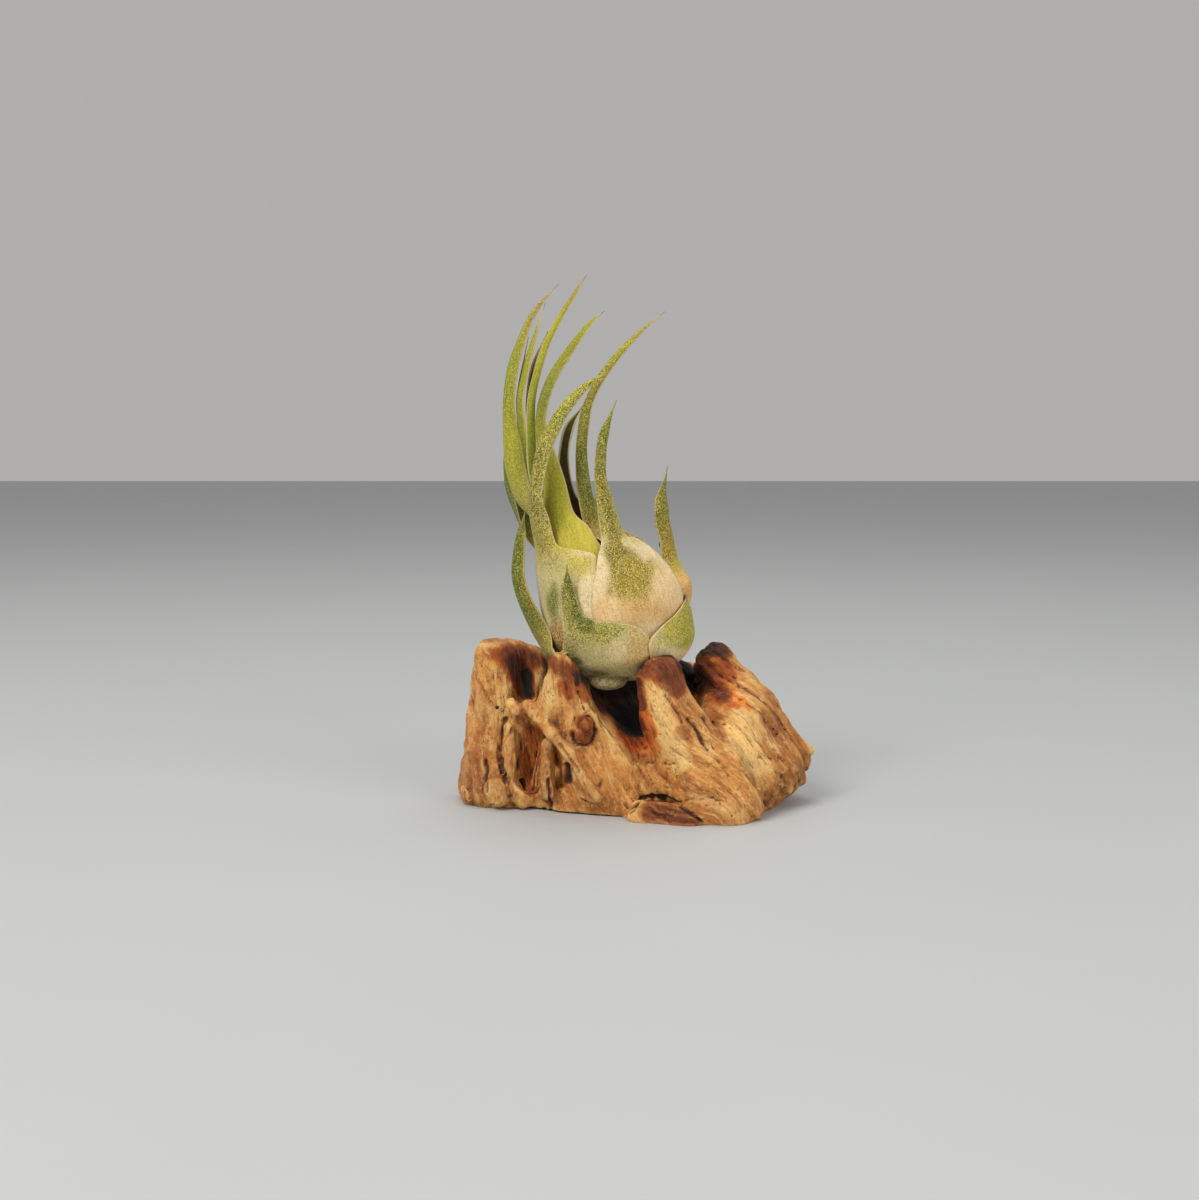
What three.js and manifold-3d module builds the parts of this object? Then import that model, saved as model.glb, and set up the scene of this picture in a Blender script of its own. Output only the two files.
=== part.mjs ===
// A bulbous air plant resting in the burnt hollow of one piece of driftwood.
// Millimetres, +Z up, +X to the right of the front view, the front faces -Y.
// The origin is under the middle of the whole thing, on the surface it stands on.
import * as THREE from 'three';
import { mergeVertices } from 'three/addons/utils/BufferGeometryUtils.js';
import Module from 'manifold-3d';

const wasm = await Module();
wasm.setup();

// ---------------------------------------------------------------- driving dimensions

const GAP = 0.35; // clear space left between two pieces that touch on the real plant
const SHEATH_THICKNESS = 1.1; // leaf thickness on the bulb
const BLADE_THICKNESS = 0.95; // leaf thickness along the blade
const MARGIN_SHARE = 0.7; // thickness at the leaf's margins, as a share of the middle
const FILL_SHARE = 0.8; // thickest a rolled blade gets, as a share of its roll radius
const LEVEL_STEP = 1.7; // how much deeper each nested layer of sheaths sits
const STEPS_PER_ROW = 1.5; // mesh rows for each measured row
const CENTRE_SHIFT = [-0.68, 0.34, 0]; // brings the whole thing's middle over the origin

// The bulb is a body of revolution round an axis that leans to the left and curves.
const BULB_BASE = new THREE.Vector3(-0.8, 2, 54.3);
const BULB_FRONT = new THREE.Vector3(0, -1, 0);
const AXIS_STEP = 1; // the axis is drawn in steps of this length
const AXIS_FROM = -8;
const AXIS_TO = 110;

// [distance along the axis, lean to the left in degrees]
const AXIS_LEAN = [[-8, 4], [0, 6], [10, 12], [25, 20], [40, 28], [52, 33], [62, 32], [75, 26], [90, 20], [110, 10]];

// [distance along the axis, radius] of the outer sheaths
const BULB_PROFILE = [
  [-4, 5.5], [-2, 7], [0, 10.5], [2, 16], [5, 21.5], [10, 26.2], [20, 29.6], [30, 30.3],
  [40, 29], [52, 25], [60, 20.5], [66, 17.5], [75, 14], [90, 11.5],
];

const STEM_RADIUS = 5.4;
const STEM_FROM = -3; // along the bulb's axis
const STEM_TO = 34;
const STEM_FOOT = [-9.6, -3.4, 51.4]; // the pale swollen end of the stem, left of the middle
const STEM_FOOT_RADII = [8.4, 7.4, 3.4];

// The wood's box, and the cell of the grid that its surface is drawn on.
const WOOD_MIN = [-84, -54, -6];
const WOOD_MAX = [86, 54, 78];
const WOOD_CELL = 4.1;
const WOOD_BLEND = 5; // how softly the limbs of the wood run together
const CUT_BLEND = 2.5; // how softly the hollows are cut
const SEAT_CLEARANCE = 1.0; // space between the bulb and the wood round it

// ---------------------------------------------------------------- colours

const WOOD_HONEY = 0xc79a5b;
const SCURF_GREEN = 0x9aa070;
const OLIVE_GREEN = 0x93994a;
const FRESH_GREEN = 0x8ea044;
const YELLOW_GREEN = 0xa9aa4c;
const PALE_PINK = 0xcdb495;
const DARK_LEAF = 0x4c4a26;
const DRY_TAN = 0xb08a63;

// ---------------------------------------------------------------- the leaves
// A leaf has a sheath, which clasps the bulb, and a blade, which rises from it.
// sheath rows: [distance along the axis, reach to the left, reach to the right], degrees
//   round the axis from the leaf's own middle, which is at its azimuth (0 faces the front).
//   A fourth number is that row's own puff.
// blade rows: [x, y, z, roll radius, half angle of the roll, the way its back faces].
// level: 0 is the outermost layer of sheaths. puff: how far the sheath stands off, towards
//   the azimuth in pushed, or straight out.

const LEAVES = [
  {
    name: 'leaf_low_front', colour: SCURF_GREEN, level: -0.7, azimuth: -33, puff: 0, across: 10,
    sheath: [
      [1, 36, 44], [7, 36, 48], [12, 33, 51], [17, 28, 51], [22, 22, 43], [26, 16, 29],
      [30, 13.5, 16], [35, 11, 9.5],
    ],
    blade: [
      [-27.6, -25.4, 88.1, 4, 60, -28], [-27.7, -26.8, 94, 2.36, 75, -22],
      [-27.4, -27.3, 102, 0.6, 80, -20],
    ],
  },
  {
    name: 'leaf_low_right', colour: YELLOW_GREEN, level: -0.7, azimuth: 80, puff: 0.6, across: 10,
    sheath: [
      [0.5, 60, 46], [5, 63, 50], [10, 64, 52], [14.5, 61, 44, -0.2], [18, 48, 20, -0.9],
      [20.5, 29, 9, -1.2], [22.5, 13, 5, -1.2], [24, 3, 3, -1.2],
    ],
    blade: [],
  },
  {
    name: 'leaf_low_left', colour: OLIVE_GREEN, level: 0, azimuth: -76, puff: 5.4, across: 8,
    sheath: [[6, 32, 29, 3.6], [13, 34, 28, 4.8], [21, 28, 20]],
    blade: [
      [-41.6, -4, 71.6, 8.5, 56, -64], [-47.4, -5, 84.2, 5.2, 74, -62],
      [-50.2, -5, 94.6, 4.1, 85, -62], [-49.4, -5, 105.3, 3.2, 88, -55],
      [-47.6, -5, 113.6, 2.3, 88, -50], [-44.9, -5, 122, 0.66, 80, -50],
    ],
  },
  {
    name: 'leaf_back_low', colour: SCURF_GREEN, level: -0.7, azimuth: 174, puff: 0, across: 8,
    sheath: [[1, 40, 48], [8, 42, 52], [18, 38, 44], [28, 24, 24], [36, 13, 13]],
    blade: [[-8, 33, 97, 4.2, 60, 176], [-9, 35, 107, 2.6, 78, 178], [-8, 33, 119, 0.6, 80, 180]],
  },
  {
    name: 'leaf_front_centre', colour: PALE_PINK, level: 0.3, azimuth: 32, puff: 1.3, pushed: 56, across: 10,
    sheath: [
      [2, 52, 38, -1], [9, 54, 40, -1], [18, 54, 39, -1.1], [28, 52, 36, 0.7], [36, 48, 34, 0.5],
      [43, 40, 29, 0.5], [47, 34, 23], [50.5, 28, 17],
    ],
    blade: [
      [-8, -18.6, 112, 10, 38, 29], [-10, -17.4, 118.5, 5.6, 52, 22], [-11.9, -18, 127, 3.6, 70, 15],
      [-13.9, -19, 135.9, 2.51, 85, 5], [-13.7, -20, 147.9, 2.14, 88, 0],
      [-11.9, -20, 155.8, 1.7, 88, 0], [-7.7, -19, 166.9, 0.6, 80, 0],
    ],
  },
  {
    name: 'leaf_right', colour: DRY_TAN, level: 3, azimuth: 104, puff: 11, pushed: 135, across: 8,
    sheath: [[8, 50, -2, 2], [15, 62, 0, 5.5], [22, 68, 14, 11.4], [28, 64, 21, 12]],
    blade: [
      [18.2, 9.2, 102.4, 13, 64, 92], [16, 6.6, 110.2, 6.6, 66, 72], [14, 4, 117.6, 4.9, 76, 58],
      [12.6, 2, 126.9, 3.1, 85, 48], [13.5, 0, 140.2, 0.6, 80, 45],
    ],
  },
  {
    name: 'leaf_front_left', colour: SCURF_GREEN, level: 0.8, azimuth: -42, puff: 1.6, pushed: -75, across: 10,
    sheath: [
      [3.5, 46, 31, 2.8], [12, 54, 29, 2.8], [24, 56, 30, 2.5], [33, 58, 32], [43, 56, 43], [49, 52, 51],
      [53, 48, 54], [57, 44, 46], [61, 37, 32], [65, 28, 21],
    ],
    blade: [
      [-41.2, -11.6, 118, 7.6, 56, -50], [-42.6, -15.2, 127.6, 5.1, 70, -58],
      [-41.4, -17, 136.1, 3.9, 80, -58], [-39.8, -18, 143.9, 3.7, 85, -48],
      [-37.3, -18, 151, 3.7, 85, -42], [-30.2, -17, 163.1, 2.9, 85, -40],
      [-21.2, -15, 172.3, 1.8, 85, -40], [-10.4, -13, 178.7, 0.6, 80, -40],
    ],
  },
  {
    name: 'leaf_back_right', colour: OLIVE_GREEN, level: 0.9, azimuth: 150, puff: 0, across: 8,
    sheath: [[3, 40, 46], [12, 44, 50], [24, 42, 52], [34, 30, 46], [43, 8, 34]],
    blade: [
      [-10, 25, 107, 8, 56, 150], [-12.6, 26, 115, 3.8, 70, 148], [-14, 26, 124, 2.4, 80, 146],
      [-12.6, 25, 133, 0.6, 80, 142],
    ],
  },
  {
    name: 'leaf_back_left', colour: OLIVE_GREEN, level: 1.4, azimuth: -130, puff: 0, across: 8,
    sheath: [[4, 46, 30], [14, 50, 30], [28, 52, 30], [42, 52, 30], [54, 42, 28], [62, 30, 24]],
    blade: [
      [-44.5, 13, 111, 8, 54, -118], [-49.6, 13.8, 119.5, 6.4, 64, -108],
      [-53.6, 14, 129, 5.4, 80, -98], [-54.7, 13, 139, 4.8, 88, -92],
      [-54, 12, 149.2, 3.6, 88, -90], [-51.5, 11, 160.4, 0.9, 80, -90],
    ],
  },
  {
    name: 'leaf_long_tip', colour: FRESH_GREEN, level: 3.9, azimuth: 52, puff: 0, across: 8,
    sheath: [[37, 30, 52], [46, 29, 40], [52, 28, 18], [57, 27, 11]],
    blade: [
      [-15.6, -7.8, 117.5, 6.4, 52, 38], [-18.1, -6.8, 124, 4.3, 64, 28], [-20.5, -5, 133.9, 3.1, 79, 15],
      [-21.9, -3, 146.8, 2.4, 88, 0], [-21.2, -1, 159.1, 2.3, 88, -15],
      [-19, 1, 167.9, 2, 88, -25], [-12.9, 3, 179.1, 1.9, 88, -35],
      [-1.6, 5, 192.1, 1.35, 85, -40], [12.3, 7, 203.4, 0.6, 80, -45],
    ],
  },
  {
    name: 'leaf_yellow', colour: YELLOW_GREEN, level: 3, azimuth: -22, puff: 0, across: 10,
    sheath: [[34, 50, 40], [48, 54, 42], [57, 56, 43], [64, 56, 48], [72, 52, 45]],
    blade: [
      [-34.2, -9, 134, 5.6, 62, -26], [-37.7, -8, 147, 3.9, 76, -30],
      [-39.8, -5.6, 156.2, 2.7, 85, -38], [-38.4, -3, 167.4, 2.6, 88, -40],
      [-34.2, -1, 177.9, 2.5, 88, -42], [-28.3, 1, 186.9, 2.2, 88, -45],
      [-19.7, 3, 197.7, 1.3, 85, -45], [-12.4, 4, 203.6, 0.6, 80, -45],
    ],
  },
  {
    name: 'leaf_dark', colour: DARK_LEAF, level: 4, azimuth: 142, puff: 0, across: 6,
    sheath: [[38, 46, 58], [46, 38, 58], [54, 26, 54], [63, 24, 44], [70, 28, 36]],
    blade: [
      [-26.2, 9, 127.2, 4.2, 66, 152], [-28.4, 8.4, 136.8, 3, 74, 158],
      [-28.6, 7.6, 147.4, 2.3, 78, 165], [-26.1, 7.4, 157.3, 1.9, 80, 170],
      [-19.2, 8, 167.3, 0.6, 75, 170],
    ],
  },
  {
    name: 'leaf_bunch_outer', colour: FRESH_GREEN, level: 4.6, azimuth: -100, puff: 0, across: 10,
    sheath: [[46, 54, 50], [58, 58, 54], [70, 62, 56]],
    blade: [
      [-48.4, 4, 125, 7.4, 76, -72], [-52.6, 3, 137.5, 6.2, 90, -62],
      [-53.5, 2, 147.8, 5.3, 94, -60], [-53.8, 2, 157.1, 3.9, 94, -58],
      [-53.7, 2, 167.3, 3.2, 90, -58], [-52, 3, 179.9, 3.2, 88, -55],
      [-48.3, 4, 190.5, 2.4, 88, -52], [-42.1, 5, 203.2, 1.6, 85, -50],
      [-31.3, 6, 214.7, 0.6, 80, -50],
    ],
  },
];

// The innermost young leaves have no sheath of their own in sight: they rise from
// inside the bunch's outer leaf, so their rows are blade rows from end to end.
const YOUNG_LEAVES = [
  {
    name: 'leaf_bunch_mid', colour: FRESH_GREEN, across: 6,
    blade: [
      [-43, 1.4, 132, 2.2, 60, -50], [-45.8, 0.8, 144.5, 2.6, 62, -50],
      [-47.4, 0.3, 154.8, 2.3, 75, -45], [-48, 1, 167.2, 1.9, 80, -45],
      [-46.3, 2, 175.9, 1.75, 80, -40], [-43.3, 4, 187.8, 1.5, 80, -40],
      [-36.7, 6, 206.9, 0.6, 80, -40],
    ],
  },
  {
    name: 'leaf_bunch_sliver', colour: FRESH_GREEN, across: 6,
    blade: [
      [-44.4, 5.4, 134, 1.8, 60, -60], [-46.9, 6.4, 148.6, 1.9, 60, -60],
      [-48.8, 7.2, 163.1, 1.5, 70, -60], [-48, 7.6, 173.5, 1.35, 70, -60],
      [-43.9, 9, 193.2, 0.6, 70, -60],
    ],
  },
  {
    name: 'leaf_bunch_tall', colour: FRESH_GREEN, across: 6,
    blade: [
      [-38.4, 0.2, 127, 3, 60, 26], [-41.4, -0.6, 138.6, 2.6, 62, 20],
      [-42.2, -1, 152.9, 2.1, 75, 15], [-42.1, -1, 167.1, 1.75, 80, 10],
      [-39.6, 0, 179.3, 1.6, 80, 0], [-36.2, 2, 190.4, 1.5, 80, -10],
      [-31, 4, 200.8, 1.3, 80, -20], [-24.8, 5, 211, 0.95, 80, -30],
      [-19.8, 6, 218.2, 0.6, 80, -30],
    ],
  },
  {
    name: 'leaf_bunch_dark', colour: DARK_LEAF, across: 6,
    blade: [
      [-41.6, 5.4, 140, 1.5, 60, 150], [-43, 6, 154.9, 1.45, 60, 150],
      [-43.3, 6, 167.2, 1.4, 70, 150], [-41.1, 6.6, 181.5, 1.2, 75, 150],
      [-35.6, 8, 195.5, 0.6, 75, 150],
    ],
  },
];

// An inner leaf is trimmed where an outer one presses on it: [inner, outer] names.
const PRESSED_BY = [
  ['leaf_low_front', 'leaf_low_right'],
  ['leaf_front_centre', 'leaf_low_front'],
  ['leaf_front_centre', 'leaf_low_right'],
  ['leaf_right', 'leaf_low_right'],
  ['leaf_right', 'leaf_front_centre'],
  ['leaf_right', 'leaf_back_right'],
  ['leaf_front_left', 'leaf_low_front'],
  ['leaf_front_left', 'leaf_low_left'],
  ['leaf_front_left', 'leaf_front_centre'],
  ['leaf_bunch_outer', 'leaf_yellow'],
  ['leaf_bunch_outer', 'leaf_back_left'],
  ['leaf_bunch_mid', 'leaf_bunch_tall'],
  ['leaf_bunch_mid', 'leaf_bunch_outer'],
  ['leaf_low_left', 'leaf_low_front'],
  ['leaf_back_left', 'leaf_back_right'],
  ['leaf_long_tip', 'leaf_yellow'],
  ['leaf_dark', 'leaf_long_tip'],
];

// ---------------------------------------------------------------- the wood
// limbs: [from, to, radius at from, radius at to, depth over width]

const WOOD_LIMBS = [
  [[-58.8, 8, 61], [-63.5, 5, 6], 8.6, 11.5, 1.5], // left block
  [[-53, 10, 58], [-50.2, 4, 7], 9.5, 15, 1.5],
  [[-43.5, 13, 55], [-44, 9, 20], 8.5, 12, 1.4],
  [[-44.5, 3, 28], [-41.6, 2, 6], 11, 13, 1.3],
  [[-29.7, -20.5, 60], [-27, -14, 42.7], 6, 12.5, 1], // front ridge
  [[-27, -14, 42.7], [-13.1, -12, 16.5], 12.5, 17, 1],
  [[-13.1, -12, 16.5], [-6.8, -8, 5.6], 17, 15, 1],
  [[9.8, -24, 56.8], [13.1, -24, 40.3], 9.4, 12, 1], // front lobe
  [[13.1, -24, 40.3], [31, -24, 16.1], 12, 17, 1],
  [[31, -24, 16.1], [36.5, -30, 6], 17, 15, 1.05], // front foot
  [[3, -33, 1], [22, -38, 0.5], 7, 7.5, 1], // flake under the front
  [[-33, -12, 3.5], [-8, -20, 3], 8.5, 9.5, 1], // foot of the ridge
  [[-62, -3, 4], [-42, -4, 4], 8, 8, 1.3], // foot of the left block
  [[41.8, -4, 33], [41.6, -8, 14.8], 18, 22, 1],
  [[34.6, 12, 55.6], [43.5, 8, 35.5], 10, 14.5, 1.2], // right lobe
  [[43.5, 8, 35.5], [54.5, 4, 15], 14.5, 17, 1.4],
  [[47.2, 5, 49.6], [52.4, 5, 41.5], 5.2, 6, 1.3],
  [[53.6, 6, 37.4], [64.6, 4, 21.6], 7.5, 6.5, 1.3],
  [[55.3, 4, 14.5], [69.4, 3, 16.8], 17, 6, 1.2], // right end
  [[-42, 26, 42], [-40, 20, 12], 11, 18, 1], // back left lobe
  [[-8, 34, 42], [-4, 26, 12], 9, 17, 1.2], // back lobe
  [[22, 30, 46], [24, 24, 12], 10, 18, 1], // back right lobe
  [[-34, 25, 43], [14, 27, 44], 9, 9, 1], // wall behind the hollow
  [[-32, 20, 24], [16, 22, 24], 14, 14, 1],
  [[-14, 0, 10], [12, 2, 12], 18, 20, 1.4], // floor of the hollow
];
// hollows: the same rows, cut away
const WOOD_HOLLOWS = [
  [[-42, -10, 66], [-46.5, -9, 45], 6.5, 4.6, 2], // gap right of the left block
  [[-9.4, -14, 49.3], [-2.3, -31, 33.7], 9, 6.5, 1], // valley below the bulb
  [[-2.3, -31, 33.7], [6.6, -43, 20.6], 6.5, 2.2, 1],
  [[22.5, -10, 62], [29.4, -20, 49.5], 6.5, 5, 1.6], // valley left of the right lobe
  [[29.4, -20, 49.5], [43.7, -25, 41], 5, 2, 1],
  [[-40.1, -15.5, 27.1], [-42.6, -16, 13.2], 5, 5, 1], // oval slot in the front
  [[-28.5, -12.2, 66], [-28.5, -12.2, 58], 6, 5, 1], // room for the leaf on the left
  [[-20, 36, 66], [-22, 46, 52], 8, 5, 1], // valleys at the back
  [[8, 40, 66], [10, 50, 48], 8, 5, 1],
];
const WOOD_TOP = 66.8; // the left block is cut off flat at this height
const UNDERSIDE_RISE = 3; // how far the middle of the underside stands clear
const UNDERSIDE_REACH = [58, 30]; // half length and half depth of that raised part

// ---------------------------------------------------------------- small helpers

/** Value on a smooth curve through the numbers, at position t counted in rows. */
function smoothValue(values, t) {
  const last = values.length - 1;
  const i = Math.min(Math.floor(t), last - 1);
  const f = t - i;
  const p0 = values[Math.max(i - 1, 0)];
  const p1 = values[i];
  const p2 = values[i + 1];
  const p3 = values[Math.min(i + 2, last)];
  const m1 = (p2 - p0) / 2;
  const m2 = (p3 - p1) / 2;
  const f2 = f * f;
  const f3 = f2 * f;
  return (2 * f3 - 3 * f2 + 1) * p1 + (f3 - 2 * f2 + f) * m1 + (3 * f2 - 2 * f3) * p2 + (f3 - f2) * m2;
}

/** Value at x on straight lines through the [x, value] rows. */
function between(rows, x) {
  if (x <= rows[0][0]) return rows[0][1];
  for (let i = 1; i < rows.length; i += 1) {
    if (x <= rows[i][0]) {
      const f = (x - rows[i - 1][0]) / (rows[i][0] - rows[i - 1][0]);
      return THREE.MathUtils.lerp(rows[i - 1][1], rows[i][1], f);
    }
  }
  return rows[rows.length - 1][1];
}

/** Points of the bulb's axis, one for each step of its length. */
function drawAxis() {
  const count = Math.round((AXIS_TO - AXIS_FROM) / AXIS_STEP);
  const points = [new THREE.Vector3()];
  for (let i = 0; i < count; i += 1) {
    const lean = THREE.MathUtils.degToRad(between(AXIS_LEAN, AXIS_FROM + (i + 0.5) * AXIS_STEP));
    const next = points[i].clone();
    next.x -= Math.sin(lean) * AXIS_STEP;
    next.z += Math.cos(lean) * AXIS_STEP;
    points.push(next);
  }
  const shift = BULB_BASE.clone().sub(points[Math.round(-AXIS_FROM / AXIS_STEP)]);
  points.forEach((point) => point.add(shift));
  return points;
}

const axisPoints = drawAxis();

/** The axis at a distance along it: the point, the way up it, and the way right of it. */
function axisAt(along) {
  const t = THREE.MathUtils.clamp((along - AXIS_FROM) / AXIS_STEP, 0, axisPoints.length - 1.001);
  const i = Math.floor(t);
  const point = axisPoints[i].clone().lerp(axisPoints[i + 1], t - i);
  const lean = THREE.MathUtils.degToRad(between(AXIS_LEAN, along));
  const up = new THREE.Vector3(-Math.sin(lean), 0, Math.cos(lean));
  const right = new THREE.Vector3(Math.cos(lean), 0, Math.sin(lean));
  return { point, up, right };
}

/** Radius of the bulb at a distance along its axis. */
const bulbRadius = (along) => between(BULB_PROFILE, along);

/** Radius of one nested layer: deeper layers also start a little higher. */
function layerRadius(along, level) {
  const inset = LEVEL_STEP * level;
  return Math.max(bulbRadius(along - inset) - inset, STEM_RADIUS + SHEATH_THICKNESS + GAP);
}

function solidOf(geometry) {
  const bare = geometry.clone();
  for (const name of Object.keys(bare.attributes)) {
    if (name !== 'position') bare.deleteAttribute(name);
  }
  const merged = mergeVertices(bare, 1e-4);
  return new wasm.Manifold(new wasm.Mesh({
    numProp: 3,
    vertProperties: new Float32Array(merged.attributes.position.array),
    triVerts: new Uint32Array(merged.index.array),
  }));
}

/** The largest connected body of an indexed triangle list, as plain arrays. */
function largestBody(positions, triangles) {
  const parent = Array.from({ length: positions.length / 3 }, (_, i) => i);
  const find = (i) => {
    let root = i;
    while (parent[root] !== root) root = parent[root];
    while (parent[i] !== root) {
      const next = parent[i];
      parent[i] = root;
      i = next;
    }
    return root;
  };
  for (let t = 0; t < triangles.length; t += 3) {
    parent[find(triangles[t])] = find(triangles[t + 1]);
    parent[find(triangles[t + 1])] = find(triangles[t + 2]);
  }
  const count = new Map();
  for (let t = 0; t < triangles.length; t += 3) {
    const root = find(triangles[t]);
    count.set(root, (count.get(root) ?? 0) + 1);
  }
  const [best] = [...count.entries()].sort((a, b) => b[1] - a[1])[0];
  const kept = [];
  for (let t = 0; t < triangles.length; t += 3) {
    if (find(triangles[t]) === best) kept.push(triangles[t], triangles[t + 1], triangles[t + 2]);
  }
  return kept;
}

function geometryOf(positions, triangles) {
  const geometry = new THREE.BufferGeometry();
  geometry.setAttribute('position', new THREE.Float32BufferAttribute(positions, 3));
  geometry.setIndex(triangles);
  const merged = mergeVertices(geometry, 1e-3);
  merged.computeVertexNormals();
  return merged;
}

function geometryOfSolid(solid) {
  const mesh = solid.getMesh();
  const positions = Array.from(mesh.vertProperties);
  return geometryOf(positions, largestBody(positions, Array.from(mesh.triVerts)));
}

// ---------------------------------------------------------------- building a leaf

/** The way out from the axis at an azimuth in degrees. */
function wayOut(axis, azimuth) {
  const angle = THREE.MathUtils.degToRad(azimuth);
  const out = BULB_FRONT.clone().multiplyScalar(Math.cos(angle));
  return out.addScaledVector(axis.right, Math.sin(angle));
}

/** One section of a leaf: where its middle is, which way it faces, and its arc. */
function sheathSection(leaf, [along, left, right, puff = leaf.puff]) {
  const axis = axisAt(along);
  const out = wayOut(axis, leaf.azimuth);
  const radius = layerRadius(along, leaf.level);
  const middle = axis.point.clone().addScaledVector(out, radius);
  middle.addScaledVector(wayOut(axis, leaf.pushed ?? leaf.azimuth), puff);
  const side = axis.up.clone().cross(out);
  return { middle, out, side, radius, left, right, thickness: SHEATH_THICKNESS };
}

function bladeSection(middles, index, [, , , radius, roll, facing]) {
  const before = middles[Math.max(index - 1, 0)];
  const after = middles[Math.min(index + 1, middles.length - 1)];
  const along = after.clone().sub(before).normalize();
  const angle = THREE.MathUtils.degToRad(facing);
  const out = new THREE.Vector3(Math.sin(angle), -Math.cos(angle), 0);
  out.addScaledVector(along, -out.dot(along)).normalize();
  const side = along.clone().cross(out);
  const thickness = Math.min(BLADE_THICKNESS, FILL_SHARE * radius);
  return { middle: middles[index], out, side, radius, left: roll, right: roll, thickness };
}

function leafSections(leaf) {
  const sheath = (leaf.sheath ?? []).map((row) => sheathSection(leaf, row));
  const middles = sheath.map((section) => section.middle);
  for (const [x, y, z] of leaf.blade) middles.push(new THREE.Vector3(x, y, z));
  const blade = leaf.blade.map((row, i) => bladeSection(middles, sheath.length + i, row));
  return [...sheath, ...blade];
}

/** A section on the smooth way between the measured ones, at row position t. */
function sectionAt(sections, t) {
  const number = (pick) => smoothValue(sections.map(pick), t);
  const vector = (pick) => new THREE.Vector3(
    number((s) => pick(s).x), number((s) => pick(s).y), number((s) => pick(s).z));
  const out = vector((s) => s.out).normalize();
  const side = vector((s) => s.side);
  side.addScaledVector(out, -side.dot(out)).normalize();
  const radius = 1 / number((s) => 1 / s.radius);
  return {
    middle: vector((s) => s.middle), out, side,
    radius, left: number((s) => s.left * s.radius) / radius,
    right: number((s) => s.right * s.radius) / radius, thickness: number((s) => s.thickness),
  };
}

/** Points of the leaf's back, row by row: rows[j][i], j along the leaf, i across it. */
function leafRows(leaf, spread) {
  const sections = leafSections(leaf);
  const steps = Math.round((sections.length - 1) * STEPS_PER_ROW);
  const rows = [];
  for (let j = 0; j <= steps; j += 1) {
    const section = sectionAt(sections, (j * (sections.length - 1)) / steps);
    const centre = section.middle.clone().addScaledVector(section.out, -section.radius);
    const up = section.out.clone().cross(section.side);
    if (j === 0) centre.addScaledVector(up, -spread);
    if (j === steps) centre.addScaledVector(up, spread);
    const extra = THREE.MathUtils.radToDeg(spread / section.radius);
    const row = [];
    for (let i = 0; i <= leaf.across; i += 1) {
      const degrees = THREE.MathUtils.lerp(-section.left - extra, section.right + extra, i / leaf.across);
      const angle = THREE.MathUtils.degToRad(degrees);
      const point = centre.clone().addScaledVector(section.out, section.radius * Math.cos(angle));
      row.push(point.addScaledVector(section.side, section.radius * Math.sin(angle)));
    }
    rows.push({ points: row, thickness: section.thickness });
  }
  return rows;
}

/** The closed mesh of a leaf. grow makes it fatter all round, for trimming others. */
function leafGeometry(leaf, grow = 0) {
  const rows = leafRows(leaf, grow);
  const across = leaf.across + 1;
  const count = rows.length * across;
  const outer = [];
  const inner = [];
  for (let j = 0; j < rows.length; j += 1) {
    for (let i = 0; i < across; i += 1) {
      const here = rows[j].points[i];
      const up = rows[Math.min(j + 1, rows.length - 1)].points[i].clone();
      up.sub(rows[Math.max(j - 1, 0)].points[i]);
      const over = rows[j].points[Math.min(i + 1, across - 1)].clone();
      over.sub(rows[j].points[Math.max(i - 1, 0)]);
      const normal = over.cross(up).normalize();
      const u = (2 * i) / leaf.across - 1;
      const share = 1 - (1 - MARGIN_SHARE) * u * u * u * u;
      outer.push(...here.clone().addScaledVector(normal, grow));
      inner.push(...here.clone().addScaledVector(normal, -rows[j].thickness * share - grow));
    }
  }
  const triangles = [];
  const quad = (a, b, c, d) => triangles.push(a, b, c, a, c, d);
  const at = (j, i) => j * across + i;
  for (let j = 0; j + 1 < rows.length; j += 1) {
    for (let i = 0; i + 1 < across; i += 1) {
      quad(at(j, i), at(j, i + 1), at(j + 1, i + 1), at(j + 1, i));
      quad(count + at(j, i), count + at(j + 1, i), count + at(j + 1, i + 1), count + at(j, i + 1));
    }
    quad(at(j, 0), at(j + 1, 0), count + at(j + 1, 0), count + at(j, 0));
    const end = across - 1;
    quad(at(j, end), count + at(j, end), count + at(j + 1, end), at(j + 1, end));
  }
  const top = rows.length - 1;
  for (let i = 0; i + 1 < across; i += 1) {
    quad(at(0, i), count + at(0, i), count + at(0, i + 1), at(0, i + 1));
    quad(at(top, i), at(top, i + 1), count + at(top, i + 1), count + at(top, i));
  }
  return geometryOf([...outer, ...inner], triangles);
}

// ---------------------------------------------------------------- building the stem

function stemGeometry() {
  const profile = [
    [0, STEM_FROM], [STEM_RADIUS - 0.8, STEM_FROM], [STEM_RADIUS, STEM_FROM + 2],
    [STEM_RADIUS - 0.2, STEM_TO - 24], [STEM_RADIUS - 0.6, STEM_TO - 12],
    [STEM_RADIUS - 2, STEM_TO - 2], [0, STEM_TO],
  ].map(([radius, along]) => new THREE.Vector2(radius, along));
  const geometry = new THREE.LatheGeometry(profile, 12);
  const position = geometry.attributes.position;
  for (let i = 0; i < position.count; i += 1) {
    const axis = axisAt(position.getY(i));
    const point = axis.point.clone().addScaledVector(axis.right, position.getX(i));
    point.addScaledVector(BULB_FRONT, position.getZ(i));
    position.setXYZ(i, ...point);
  }
  const foot = new THREE.SphereGeometry(1, 10, 5);
  foot.scale(...STEM_FOOT_RADII);
  foot.translate(...STEM_FOOT);
  return geometryOfSolid(solidOf(geometry).add(solidOf(foot)));
}

// ---------------------------------------------------------------- building the wood

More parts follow.
